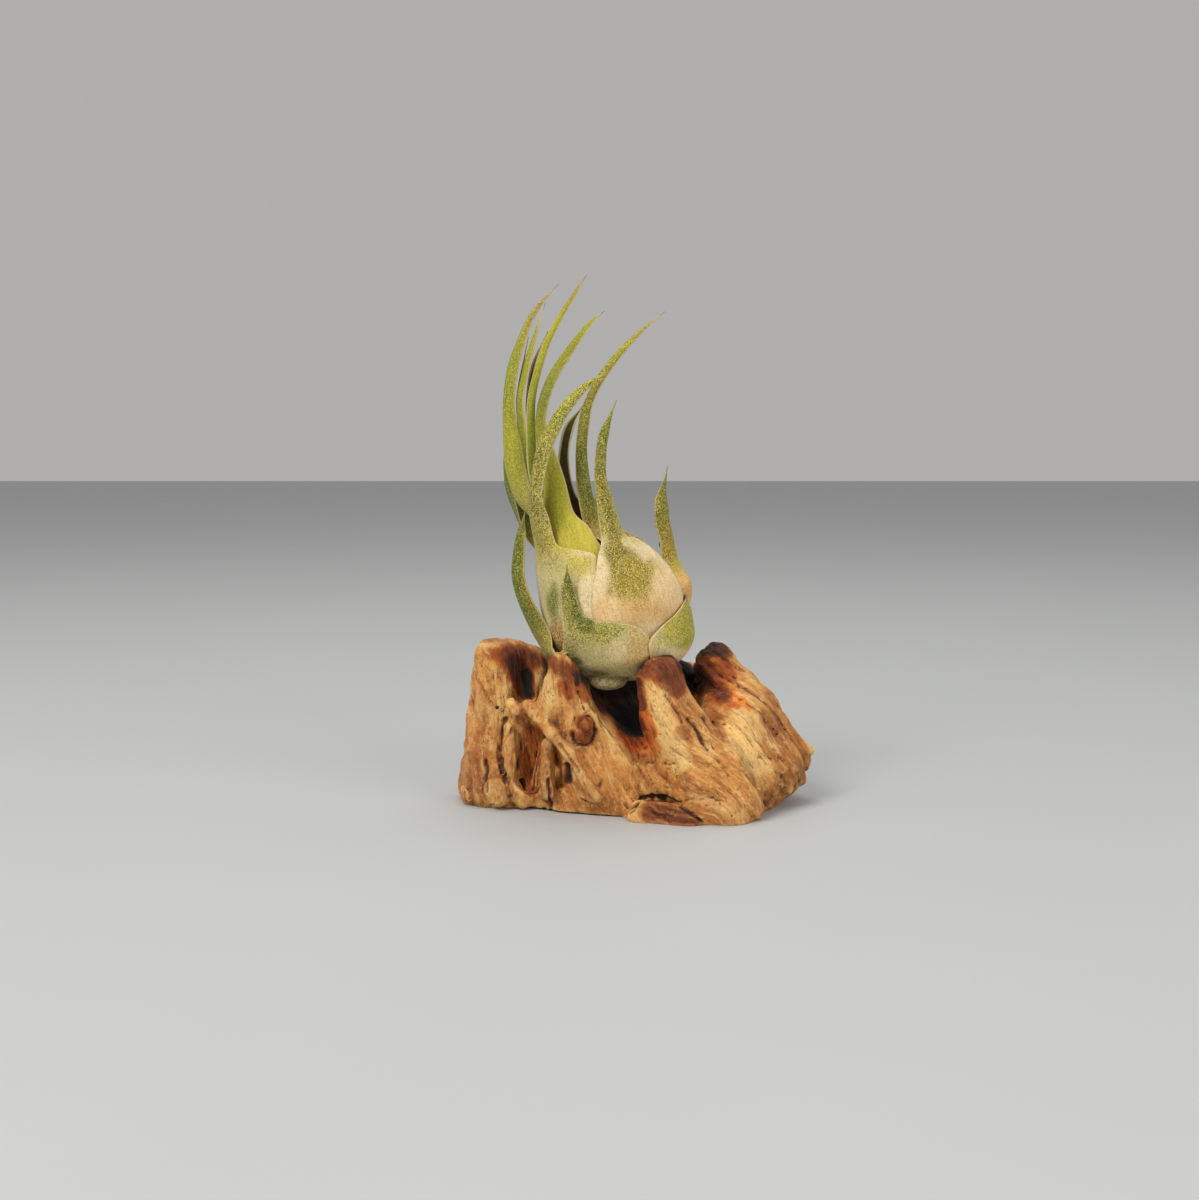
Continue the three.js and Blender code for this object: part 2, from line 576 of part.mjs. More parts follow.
/** Signed distance, roughly, from a point to one limb. */
function limbDistance([from, to, radiusFrom, radiusTo, depth], x, y, z) {
  const px = x - from[0];
  const py = (y - from[1]) / depth;
  const pz = z - from[2];
  const bx = to[0] - from[0];
  const by = (to[1] - from[1]) / depth;
  const bz = to[2] - from[2];
  const f = THREE.MathUtils.clamp((px * bx + py * by + pz * bz) / (bx * bx + by * by + bz * bz), 0, 1);
  const gap = Math.hypot(px - f * bx, py - f * by, pz - f * bz);
  return gap - THREE.MathUtils.lerp(radiusFrom, radiusTo, f);
}

function softMin(a, b, blend) {
  const h = Math.max(blend - Math.abs(a - b), 0) / blend;
  return Math.min(a, b) - (h * h * blend) / 4;
}

const softMax = (a, b, blend) => -softMin(-a, -b, blend);

/** Signed distance, roughly, to the bulb as a whole. */
function bulbDistance(x, y, z) {
  const p = new THREE.Vector3(x, y, z);
  let along = p.z - BULB_BASE.z;
  for (let turn = 0; turn < 4; turn += 1) {
    const axis = axisAt(along);
    along += p.clone().sub(axis.point).dot(axis.up);
  }
  const off = p.distanceTo(axisAt(along).point);
  return Math.max(off - bulbRadius(along) - LEVEL_STEP, BULB_PROFILE[0][0] - along) * 0.8;
}

/** Gentle long waves that run down the wood, as its grain does. */
function grainWave(x, y, z) {
  const run = 0.9 * x + 0.55 * z;
  return 0.7 * Math.sin(run / 4.6 + 1.3 * Math.sin(y / 13)) + 0.5 * Math.sin(run / 9.5 + y / 8 + 1.1);
}

function woodDistance(x, y, z) {
  let d = Infinity;
  for (const limb of WOOD_LIMBS) {
    const one = limbDistance(limb, x, y, z);
    d = d === Infinity ? one : softMin(d, one, WOOD_BLEND);
  }
  d += grainWave(x, y, z);
  for (const hollow of WOOD_HOLLOWS) {
    d = softMax(d, -limbDistance(hollow, x, y, z), CUT_BLEND);
  }
  d = softMax(d, SEAT_CLEARANCE - bulbDistance(x, y, z), CUT_BLEND);
  d = softMax(d, z - WOOD_TOP, CUT_BLEND);
  const reach = Math.hypot(x / UNDERSIDE_REACH[0], y / UNDERSIDE_REACH[1]);
  return Math.max(d, UNDERSIDE_RISE * Math.max(1 - reach * reach, 0) - z);
}

/** Fills single grid corners that would pinch the surface to a line or a point. */
function openPinches(values, size) {
  const [nx, ny] = size;
  const step = [1, nx, nx * ny];
  const fill = -0.02 * WOOD_CELL;
  let changed = true;
  while (changed) {
    changed = false;
    for (let k = 0; k + 1 < size[2]; k += 1) {
      for (let j = 0; j + 1 < ny; j += 1) {
        for (let i = 0; i + 1 < nx; i += 1) {
          const at = i + j * step[1] + k * step[2];
          for (const [a, b] of [[0, 1], [1, 2], [0, 2]]) {
            const q = [at, at + step[a], at + step[a] + step[b], at + step[b]];
            const inside = q.map((n) => values[n] < 0);
            const crossed = inside[0] === inside[2] && inside[1] === inside[3] && inside[0] !== inside[1];
            if (crossed) {
              values[inside[0] ? q[1] : q[0]] = fill;
              changed = true;
            }
          }
          for (let corner = 0; corner < 4; corner += 1) {
            const near = at + (corner & 1 ? step[0] : 0) + (corner & 2 ? step[1] : 0);
            const far = at + (corner & 1 ? 0 : step[0]) + (corner & 2 ? 0 : step[1]) + step[2];
            let others = 0;
            for (let n = 0; n < 8; n += 1) {
              const m = at + (n & 1 ? step[0] : 0) + (n & 2 ? step[1] : 0) + (n & 4 ? step[2] : 0);
              if (m !== near && m !== far && values[m] < 0) others += 1;
            }
            const pair = values[near] < 0 && values[far] < 0;
            const hole = values[near] >= 0 && values[far] >= 0;
            if (pair && others === 0) {
              values[near + (corner & 1 ? -step[0] : step[0])] = fill;
              changed = true;
            } else if (hole && others === 6) {
              values[near] = fill;
              changed = true;
            }
          }
        }
      }
    }
  }
}

/** The surface where the distance is zero: one vertex in each cell that it crosses. */
function woodGeometry() {
  const size = WOOD_MIN.map((low, axis) => Math.ceil((WOOD_MAX[axis] - low) / WOOD_CELL) + 1);
  const [nx, ny, nz] = size;
  const step = [1, nx, nx * ny];
  const values = new Float64Array(nx * ny * nz);
  for (let k = 0; k < nz; k += 1) {
    for (let j = 0; j < ny; j += 1) {
      for (let i = 0; i < nx; i += 1) {
        const p = [i, j, k].map((n, axis) => WOOD_MIN[axis] + n * WOOD_CELL);
        values[i + j * step[1] + k * step[2]] = woodDistance(...p);
      }
    }
  }
  openPinches(values, size);
  const vertexOf = new Map();
  const positions = [];
  for (let k = 0; k + 1 < nz; k += 1) {
    for (let j = 0; j + 1 < ny; j += 1) {
      for (let i = 0; i + 1 < nx; i += 1) {
        const at = i + j * step[1] + k * step[2];
        const sum = [0, 0, 0];
        let crossings = 0;
        for (let axis = 0; axis < 3; axis += 1) {
          const a = (axis + 1) % 3;
          const b = (axis + 2) % 3;
          for (const [fa, fb] of [[0, 0], [1, 0], [0, 1], [1, 1]]) {
            const from = at + fa * step[a] + fb * step[b];
            const low = values[from];
            const high = values[from + step[axis]];
            if (low < 0 !== high < 0) {
              const here = [0, 0, 0];
              here[axis] = low / (low - high);
              here[a] = fa;
              here[b] = fb;
              here.forEach((value, n) => { sum[n] += value; });
              crossings += 1;
            }
          }
        }
        if (crossings > 0) {
          vertexOf.set(at, positions.length / 3);
          [i, j, k].forEach((n, axis) => {
            positions.push(WOOD_MIN[axis] + (n + sum[axis] / crossings) * WOOD_CELL);
          });
        }
      }
    }
  }
  const triangles = [];
  for (let k = 1; k + 1 < nz; k += 1) {
    for (let j = 1; j + 1 < ny; j += 1) {
      for (let i = 1; i + 1 < nx; i += 1) {
        const at = i + j * step[1] + k * step[2];
        for (let axis = 0; axis < 3; axis += 1) {
          const inside = values[at] < 0;
          if (inside !== values[at + step[axis]] < 0) {
            const a = step[(axis + 1) % 3];
            const b = step[(axis + 2) % 3];
            const q = [at - a - b, at - b, at, at - a].map((n) => vertexOf.get(n));
            if (inside) triangles.push(q[0], q[1], q[2], q[0], q[2], q[3]);
            else triangles.push(q[0], q[2], q[1], q[0], q[3], q[2]);
          }
        }
      }
    }
  }
  return geometryOf(positions, largestBody(positions, triangles));
}

// ---------------------------------------------------------------- putting it together

function pieceMesh(name, geometry, colour, roughness) {
  const material = new THREE.MeshStandardMaterial({ color: colour, roughness, metalness: 0 });
  const mesh = new THREE.Mesh(geometry, material);
  mesh.name = name;
  return mesh;
}

const allLeaves = [...LEAVES, ...YOUNG_LEAVES];
const leafByName = new Map(allLeaves.map((leaf) => [leaf.name, leaf]));

function trimmedLeafGeometry(leaf) {
  const pressing = PRESSED_BY.filter(([inner]) => inner === leaf.name);
  let solid = solidOf(leafGeometry(leaf));
  for (const [, outer] of pressing) {
    solid = solid.subtract(solidOf(leafGeometry(leafByName.get(outer), GAP)));
  }
  return geometryOfSolid(solid);
}

const airPlant = new THREE.Group();
airPlant.add(pieceMesh('driftwood', woodGeometry(), WOOD_HONEY, 0.6));
airPlant.add(pieceMesh('stem', stemGeometry(), DRY_TAN, 0.8));
for (const leaf of allLeaves) {
  airPlant.add(pieceMesh(leaf.name, trimmedLeafGeometry(leaf), leaf.colour, 0.75));
}

airPlant.position.set(...CENTRE_SHIFT);

export default airPlant;
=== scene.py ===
"""A bulbous air plant resting in the burnt hollow of a piece of driftwood.

Millimetres in the tables below, metres in Blender. +X is right of the front view, the front
faces -Y, +Z is up. Leaves are lofted again from the same measured rows as the solids, finer,
and the wood's skin is the solid's own surface with grain, cracks and knots worked into it.
"""

import math

import bpy
import numpy as np
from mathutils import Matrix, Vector
from mathutils.bvhtree import BVHTree


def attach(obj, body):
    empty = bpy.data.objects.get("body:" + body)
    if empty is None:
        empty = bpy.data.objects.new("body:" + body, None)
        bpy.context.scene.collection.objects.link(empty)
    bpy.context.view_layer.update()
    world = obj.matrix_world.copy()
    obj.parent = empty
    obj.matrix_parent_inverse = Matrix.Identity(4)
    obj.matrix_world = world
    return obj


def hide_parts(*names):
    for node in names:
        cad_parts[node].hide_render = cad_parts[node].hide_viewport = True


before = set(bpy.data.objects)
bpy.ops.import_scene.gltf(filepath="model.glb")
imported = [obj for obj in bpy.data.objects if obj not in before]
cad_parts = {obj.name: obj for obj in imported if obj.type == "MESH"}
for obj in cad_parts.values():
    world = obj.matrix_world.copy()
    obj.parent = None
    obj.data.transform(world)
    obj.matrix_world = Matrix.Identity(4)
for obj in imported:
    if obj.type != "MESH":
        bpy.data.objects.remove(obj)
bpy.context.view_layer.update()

MM = 0.001
CENTRE_SHIFT = np.array([-0.68, 0.34, 0.0])  # the solids stand this far from their own rows

HASH_STEPS = (374761393, 668265263, 1103515245)  # large odd numbers that scatter the noise
HASH_SEED_STEP = 144665
HASH_MIX = 1274126177
HASH_MASK = 0x7FFFFFFF

# ---- camera
CAMERA_AT = np.array([-14.5, -686.8, 157.0])
CAMERA_PITCH = 6.0  # degrees below the horizon
LENS = 50.0
SENSOR = 36.0

# ---- the leaves
SHEATH_THICKNESS = 1.0
BLADE_THICKNESS = 0.85
MARGIN_SHARE = 0.35  # thickness at a leaf's margins, as a share of its middle
MARGIN_POWER = 5  # how late towards the margins a leaf thins
FILL_SHARE = 0.8  # a rolled blade is no thicker than this share of its roll radius
LEVEL_STEP = 1.7  # from one layer of the bulb to the next
STEPS_PER_ROW = 8
STEPS_ACROSS = 28
TIP_SHARE = 0.3  # how much of its last measured width the very tip keeps
TIP_THICKNESS_SHARE = 0.5
PRESS_CLEARANCE = 0.12  # space kept between a pressed leaf and the one on it
PRESS_REACH = 4.0  # how deep under a leaf the pressing is felt
PRESS_SOFTENING = 6  # rounds of spreading the pressed place
LUMP_HEIGHT = 0.28  # gentle lumps of a sheath
LUMP_SIZE = 9.0
LUMP_SINK = 0.6
LUMPY_RADII = (4, 14)  # a leaf narrower than the first has no lumps

STEM_RADIUS = 5.4
STEM_CLEARANCE = 1.45  # between the stem and the innermost layer
STEM_END_RADIUS = 0.3
STEM_SWELL = 4.6  # what the radius gains away from the ends
STEM_ENDS = (-3, 2)  # distances from an end over which it rounds off
STEM_FROM = -3.0
STEM_TO = 34.0
STEM_SIDES = 36
STEM_RINGS = 25
STEM_FOOT = np.array([-11.0, -4.2, 51.8])  # the pale swollen end of the stem
STEM_FOOT_RADII = np.array([8.0, 7.4, 3.8])
STEM_FOOT_RINGS = 19
STEM_FOOT_LUMPS = 0.15
STEM_FOOT_LUMP_SIZE = 7

BULB_BASE = np.array([-0.8, 2.0, 54.3])
BULB_FRONT = np.array([0.0, -1.0, 0.0])
AXIS_FROM = -8.0
AXIS_TO = 110.0
# [distance along the axis, lean to the left in degrees]
AXIS_LEAN = [
    [-8, 4], [0, 6], [10, 12], [25, 20], [40, 28], [52, 33], [62, 32], [75, 26], [90, 20],
    [110, 10],
]
# [distance along the axis, radius] of the outer sheaths
BULB_PROFILE = [
    [-4, 5.5], [-2, 7], [0, 10.5], [2, 16], [5, 21.5], [10, 26.2], [20, 29.6], [30, 30.3],
    [40, 29], [52, 25], [60, 20.5], [66, 17.5], [75, 14], [90, 11.5],
]

# A leaf has a sheath, which clasps the bulb, and a blade, which rises from it.
# level: the layer of the bulb it lies in. azimuth: where its middle is, in degrees round the axis.
# puff: how far it stands off its layer, along its azimuth or the one given as pushed.
# sheath rows: [distance along the axis, degrees it reaches left, and right, own puff if any].
# blade rows: [x, y, z, roll radius, half angle of the roll, the way its back faces].
LEAVES = [
    dict(
        name="leaf_low_front", level=-0.7, azimuth=-33, puff=0,
        sheath=[[1, 36, 44], [7, 36, 48], [12, 33, 51], [17, 28, 51], [22, 22, 43], [26, 16, 29],
                [30, 13.5, 16], [35, 11, 9.5]],
        blade=[[-27.6, -25.4, 88.1, 4, 60, -28], [-27.7, -26.8, 94, 2.36, 75, -22],
               [-27.4, -27.3, 102, 0.6, 80, -20]]),
    dict(
        name="leaf_low_right", level=-0.7, azimuth=80, puff=0.6,
        sheath=[[0.5, 60, 46], [5, 63, 50], [10, 64, 52], [14.5, 61, 44, -0.2], [18, 48, 20, -0.9],
                [20.5, 29, 9, -1.2], [22.5, 13, 5, -1.2], [24, 3, 3, -1.2]],
        blade=[]),
    dict(
        name="leaf_low_left", level=0, azimuth=-76, puff=5.4,
        sheath=[[6, 32, 29, 3.6], [13, 34, 28, 4.8], [21, 28, 20]],
        blade=[[-41.6, -4, 71.6, 8.5, 56, -64], [-47.4, -5, 84.2, 5.2, 74, -62],
               [-50.2, -5, 94.6, 4.1, 85, -62], [-49.4, -5, 105.3, 3.2, 88, -55],
               [-47.6, -5, 113.6, 2.3, 88, -50], [-44.9, -5, 122, 0.66, 80, -50]]),
    dict(
        name="leaf_back_low", level=-0.7, azimuth=174, puff=0,
        sheath=[[1, 40, 48], [8, 42, 52], [18, 38, 44], [28, 24, 24], [36, 13, 13]],
        blade=[[-8, 33, 97, 4.2, 60, 176], [-9, 35, 107, 2.6, 78, 178],
               [-8, 33, 119, 0.6, 80, 180]]),
    dict(
        name="leaf_front_centre", level=0.3, azimuth=32, puff=1.3, pushed=56,
        sheath=[[2, 52, 38, -1], [9, 54, 40, -1], [18, 54, 39, -1.1], [28, 52, 36, 0.7],
                [36, 48, 34, 0.5], [43, 40, 29, 0.5], [47, 34, 23], [50.5, 28, 17]],
        blade=[[-8, -18.6, 112, 10, 38, 29], [-10, -17.4, 118.5, 5.6, 52, 22],
               [-11.9, -18, 127, 3.6, 70, 15], [-13.9, -19, 135.9, 2.51, 85, 5],
               [-13.7, -20, 147.9, 2.14, 88, 0], [-11.9, -20, 155.8, 1.7, 88, 0],
               [-7.7, -19, 166.9, 0.6, 80, 0]]),
    dict(
        name="leaf_right", level=3, azimuth=104, puff=11, pushed=135,
        sheath=[[8, 50, -2, 2], [15, 62, 0, 5.5], [22, 68, 14, 11.4], [28, 64, 21, 12]],
        blade=[[18.2, 9.2, 102.4, 13, 64, 92], [16, 6.6, 110.2, 6.6, 66, 72],
               [14, 4, 117.6, 4.9, 76, 58], [12.6, 2, 126.9, 3.1, 85, 48],
               [13.5, 0, 140.2, 0.6, 80, 45]]),
    dict(
        name="leaf_front_left", level=0.8, azimuth=-42, puff=1.6, pushed=-75,
        sheath=[[3.5, 46, 31, 2.8], [12, 54, 29, 2.8], [24, 56, 30, 2.5], [33, 58, 32],
                [43, 56, 43], [49, 52, 51], [53, 48, 54], [57, 44, 46], [61, 37, 32], [65, 28, 21]],
        blade=[[-41.2, -11.6, 118, 7.6, 56, -50], [-42.6, -15.2, 127.6, 5.1, 70, -58],
               [-41.4, -17, 136.1, 3.9, 80, -58], [-39.8, -18, 143.9, 3.7, 85, -48],
               [-37.3, -18, 151, 3.7, 85, -42], [-30.2, -17, 163.1, 2.9, 85, -40],
               [-21.2, -15, 172.3, 1.8, 85, -40], [-10.4, -13, 178.7, 0.6, 80, -40]]),
    dict(
        name="leaf_back_right", level=0.9, azimuth=150, puff=0,
        sheath=[[3, 40, 46], [12, 44, 50], [24, 42, 52], [34, 30, 46], [43, 8, 34]],
        blade=[[-10, 25, 107, 8, 56, 150], [-12.6, 26, 115, 3.8, 70, 148],
               [-14, 26, 124, 2.4, 80, 146], [-12.6, 25, 133, 0.6, 80, 142]]),
    dict(
        name="leaf_back_left", level=1.4, azimuth=-130, puff=0,
        sheath=[[4, 46, 30], [14, 50, 30], [28, 52, 30], [42, 52, 30], [54, 42, 28], [62, 30, 24]],
        blade=[[-44.5, 13, 111, 8, 54, -118], [-49.6, 13.8, 119.5, 6.4, 64, -108],
               [-53.6, 14, 129, 5.4, 80, -98], [-54.7, 13, 139, 4.8, 88, -92],
               [-54, 12, 149.2, 3.6, 88, -90], [-51.5, 11, 160.4, 0.9, 80, -90]]),
    dict(
        name="leaf_long_tip", level=3.9, azimuth=52, puff=0,
        sheath=[[37, 30, 52], [46, 29, 40], [52, 28, 18], [57, 27, 11]],
        blade=[[-15.6, -7.8, 117.5, 6.4, 52, 38], [-18.1, -6.8, 124, 4.3, 64, 28],
               [-20.5, -5, 133.9, 3.1, 79, 15], [-21.9, -3, 146.8, 2.4, 88, 0],
               [-21.2, -1, 159.1, 2.3, 88, -15], [-19, 1, 167.9, 2, 88, -25],
               [-12.9, 3, 179.1, 1.9, 88, -35], [-1.6, 5, 192.1, 1.35, 85, -40],
               [12.3, 7, 203.4, 0.6, 80, -45]]),
    dict(
        name="leaf_yellow", level=3, azimuth=-22, puff=0,
        sheath=[[34, 50, 40], [48, 54, 42], [57, 56, 43], [64, 56, 48], [72, 52, 45]],
        blade=[[-34.2, -9, 134, 5.6, 62, -26], [-37.7, -8, 147, 3.9, 76, -30],
               [-39.8, -5.6, 156.2, 2.7, 85, -38], [-38.4, -3, 167.4, 2.6, 88, -40],
               [-34.2, -1, 177.9, 2.5, 88, -42], [-28.3, 1, 186.9, 2.2, 88, -45],
               [-19.7, 3, 197.7, 1.3, 85, -45], [-12.4, 4, 203.6, 0.6, 80, -45]]),
    dict(
        name="leaf_dark", level=4, azimuth=142, puff=0,
        sheath=[[38, 46, 58], [46, 38, 58], [54, 26, 54], [63, 24, 44], [70, 28, 36]],
        blade=[[-26.2, 9, 127.2, 4.2, 66, 152], [-28.4, 8.4, 136.8, 3, 74, 158],
               [-28.6, 7.6, 147.4, 2.3, 78, 165], [-26.1, 7.4, 157.3, 1.9, 80, 170],
               [-19.2, 8, 167.3, 0.6, 75, 170]]),
    dict(
        name="leaf_bunch_outer", level=4.6, azimuth=-100, puff=0,
        sheath=[[46, 54, 50], [58, 58, 54], [70, 62, 56]],
        blade=[[-48.4, 4, 125, 7.4, 76, -72], [-52.6, 3, 137.5, 6.2, 90, -62],
               [-53.5, 2, 147.8, 5.3, 94, -60], [-53.8, 2, 157.1, 3.9, 94, -58],
               [-53.7, 2, 167.3, 3.2, 90, -58], [-52, 3, 179.9, 3.2, 88, -55],
               [-48.3, 4, 190.5, 2.4, 88, -52], [-42.1, 5, 203.2, 1.6, 85, -50],
               [-31.3, 6, 214.7, 0.6, 80, -50]]),
]

YOUNG_LEAVES = [
    dict(
        name="leaf_bunch_mid",
        blade=[[-43, 1.4, 132, 2.2, 60, -50], [-45.8, 0.8, 144.5, 2.6, 62, -50],
               [-47.4, 0.3, 154.8, 2.3, 75, -45], [-48, 1, 167.2, 1.9, 80, -45],
               [-46.3, 2, 175.9, 1.75, 80, -40], [-43.3, 4, 187.8, 1.5, 80, -40],
               [-36.7, 6, 206.9, 0.6, 80, -40]]),
    dict(
        name="leaf_bunch_sliver",
        blade=[[-44.4, 5.4, 134, 1.8, 60, -60], [-46.9, 6.4, 148.6, 1.9, 60, -60],
               [-48.8, 7.2, 163.1, 1.5, 70, -60], [-48, 7.6, 173.5, 1.35, 70, -60],
               [-43.9, 9, 193.2, 0.6, 70, -60]]),
    dict(
        name="leaf_bunch_tall",
        blade=[[-38.4, 0.2, 127, 3, 60, 26], [-41.4, -0.6, 138.6, 2.6, 62, 20],
               [-42.2, -1, 152.9, 2.1, 75, 15], [-42.1, -1, 167.1, 1.75, 80, 10],
               [-39.6, 0, 179.3, 1.6, 80, 0], [-36.2, 2, 190.4, 1.5, 80, -10],
               [-31, 4, 200.8, 1.3, 80, -20], [-24.8, 5, 211, 0.95, 80, -30],
               [-19.8, 6, 218.2, 0.6, 80, -30]]),
    dict(
        name="leaf_bunch_dark",
        blade=[[-41.6, 5.4, 140, 1.5, 60, 150], [-43, 6, 154.9, 1.45, 60, 150],
               [-43.3, 6, 167.2, 1.4, 70, 150], [-41.1, 6.6, 181.5, 1.2, 75, 150],
               [-35.6, 8, 195.5, 0.6, 75, 150]]),
]

# An inner leaf is pressed where an outer one lies on it: [inner, outer] names.
PRESSED_BY = [
    ["leaf_low_front", "leaf_low_right"],
    ["leaf_front_centre", "leaf_low_front"],
    ["leaf_front_centre", "leaf_low_right"],
    ["leaf_right", "leaf_low_right"],
    ["leaf_right", "leaf_front_centre"],
    ["leaf_right", "leaf_back_right"],
    ["leaf_front_left", "leaf_low_front"],
    ["leaf_front_left", "leaf_low_left"],
    ["leaf_front_left", "leaf_front_centre"],
    ["leaf_bunch_outer", "leaf_yellow"],
    ["leaf_bunch_outer", "leaf_back_left"],
    ["leaf_bunch_mid", "leaf_bunch_tall"],
    ["leaf_bunch_mid", "leaf_bunch_outer"],
    ["leaf_low_left", "leaf_low_front"],
    ["leaf_back_left", "leaf_back_right"],
    ["leaf_long_tip", "leaf_yellow"],
    ["leaf_dark", "leaf_long_tip"],
]

# ---- leaf colours
# All colours are as seen, 0 to 255. Each leaf's rows: [height, middle of the leaf, its sides].
CREAM = (238, 214, 172)
SCURF = (208, 192, 136)
PINK = (244, 206, 158)
PALE_RIM_AND_SHEEN = (232, 212, 162)
OLIVE = (136, 122, 42)
GOLD = (166, 138, 40)
MOSS = (92, 104, 26)
SAGE = (168, 156, 74)
GREEN = (120, 122, 34)
FRESH = (144, 148, 34)
LIME = (170, 166, 44)
FERN = (92, 104, 28)
YELLOW = (196, 180, 62)
TAN = (222, 172, 108)
BROWN = (168, 106, 54)
# Dark olive and maroon of inner leaves, deepened with painted shade where they lie in the shadow of
# outer leaves.
DARK_AND_SHADED = (58, 50, 20)
MAROON_SHADED = (64, 32, 20)
TIP = (160, 126, 70)
LEAF_UNDER = (150, 152, 84)  # what bare green between the scales does to a tint
LEAF_SCALE = (226, 208, 122)  # one pale scale

# band: half width of the middle colour, as a share of the leaf's half width.
# scurf: how much pale scurf speckles the leaf. rim: how plain its pale margin is, the scales' own
# pallor with a painted sheen of light at grazing angles.
LEAF_LOOKS = {
    "leaf_low_front": dict(scurf=1.0, rim=0.25, band=0.35, tones=[
        [56, SCURF, SCURF], [64, SCURF, SCURF], [74, SAGE, SCURF], [84, OLIVE, SAGE],
        [92, GREEN, SAGE], [102, OLIVE, OLIVE]]),
    "leaf_low_right": dict(scurf=0.9, rim=0.6, band=0.55, tones=[
        [54, SCURF, SCURF], [62, SCURF, SCURF], [70, LIME, SCURF], [80, LIME, SCURF],
        [88, SAGE, CREAM]]),
    "leaf_low_left": dict(scurf=0.55, rim=0.5, band=0.6, tones=[
        [55, OLIVE, TAN], [66, OLIVE, SAGE], [80, MOSS, OLIVE], [100, MOSS, OLIVE],
        [122, GREEN, SAGE]]),
    "leaf_back_low": dict(scurf=0.9, rim=0.3, band=0.5, tones=[
        [55, SCURF, SCURF], [75, SAGE, SCURF], [95, GREEN, SAGE], [119, OLIVE, SAGE]]),
    "leaf_front_centre": dict(scurf=0.8, rim=0.35, band=0.30, tones=[
        [60, TAN, PINK], [76, CREAM, PINK], [84, TAN, PINK], [92, SCURF, CREAM], [100, SAGE, CREAM],
        [108, OLIVE, CREAM], [114, OLIVE, SAGE], [135, OLIVE, SAGE], [150, GREEN, GREEN],
        [167, FRESH, FRESH]]),
    "leaf_right": dict(scurf=0.7, rim=0.5, band=0.6, tones=[
        [70, TAN, PINK], [90, TAN, TAN], [98, YELLOW, TAN], [105, GOLD, SAGE], [125, GREEN, OLIVE],
        [140, GREEN, GREEN]]),
    "leaf_front_left": dict(scurf=0.95, rim=0.35, band=0.42, tones=[
        [58, BROWN, BROWN], [66, TAN, PINK], [76, SCURF, CREAM], [95, SCURF, CREAM],
        [108, SAGE, YELLOW], [118, SAGE, SAGE], [140, OLIVE, SAGE], [160, FRESH, SAGE],
        [178, LIME, SAGE]]),
    "leaf_back_right": dict(scurf=0.7, rim=0.3, band=0.4, tones=[
        [60, TAN, PINK], [85, CREAM, PINK], [102, GOLD, CREAM], [120, OLIVE, SAGE],
        [133, GREEN, GREEN]]),
    "leaf_back_left": dict(scurf=0.4, rim=0.3, band=0.6, tones=[
        [60, TAN, PINK], [85, SAGE, CREAM], [105, OLIVE, OLIVE], [118, MOSS, MOSS],
        [160, MOSS, MOSS]]),
    # Its blade is darkened as painted shade from about 116 to 150 mm up, where other leaves shade
    # it; above that it is lit.
    "leaf_long_tip": dict(scurf=0.6, rim=0.55, band=0.7, tones=[
        [90, TAN, PINK], [108, TAN, BROWN], [116, OLIVE, BROWN], [128, MOSS, TAN],
        [150, GREEN, SAGE], [172, OLIVE, SAGE], [190, LIME, TIP], [203, TIP, TIP]]),
    "leaf_yellow": dict(scurf=0.35, rim=0.6, band=0.5, tones=[
        [90, YELLOW, YELLOW], [108, YELLOW, YELLOW], [116, LIME, YELLOW], [138, LIME, LIME],
        [165, GREEN, SAGE], [190, FRESH, SAGE], [204, LIME, YELLOW]]),
    # An inner leaf in the shadow of others: its dark tones are painted shade over brown and olive.
    "leaf_dark": dict(scurf=0.1, rim=0.7, band=0.8, tones=[
        [90, MAROON_SHADED, MAROON_SHADED], [118, MAROON_SHADED, MAROON_SHADED], [130, DARK_AND_SHADED, DARK_AND_SHADED], [150, DARK_AND_SHADED, DARK_AND_SHADED],
        [168, MOSS, SAGE]]),
    "leaf_bunch_outer": dict(scurf=0.5, rim=0.4, band=0.55, tones=[
        [95, CREAM, PINK], [110, SCURF, SCURF], [122, SAGE, SAGE], [136, LIME, SAGE],
        [152, LIME, LIME], [170, FRESH, FRESH], [190, FRESH, SAGE], [205, SAGE, TIP],
        [215, TIP, TIP]]),
    "leaf_bunch_mid": dict(scurf=0.3, rim=0.5, band=0.6, tones=[
        [130, MOSS, LIME], [170, FRESH, LIME], [207, LIME, TIP]]),
    "leaf_bunch_sliver": dict(scurf=0.3, rim=0.5, band=0.6, tones=[
        [134, MOSS, GREEN], [170, GREEN, LIME], [193, LIME, LIME]]),
    "leaf_bunch_tall": dict(scurf=0.3, rim=0.5, band=0.6, tones=[
        [127, MOSS, LIME], [165, FRESH, LIME], [200, LIME, YELLOW], [218, TIP, TIP]]),
    # A leaf in the shadow of the bunch: its dark tones are painted shade over olive.
    "leaf_bunch_dark": dict(scurf=0.1, rim=0.6, band=0.7, tones=[
        [140, DARK_AND_SHADED, MOSS], [170, DARK_AND_SHADED, OLIVE], [195, OLIVE, OLIVE]]),
}

BARE_TINTS = (MOSS, FERN)  # patches that the scales leave half bare

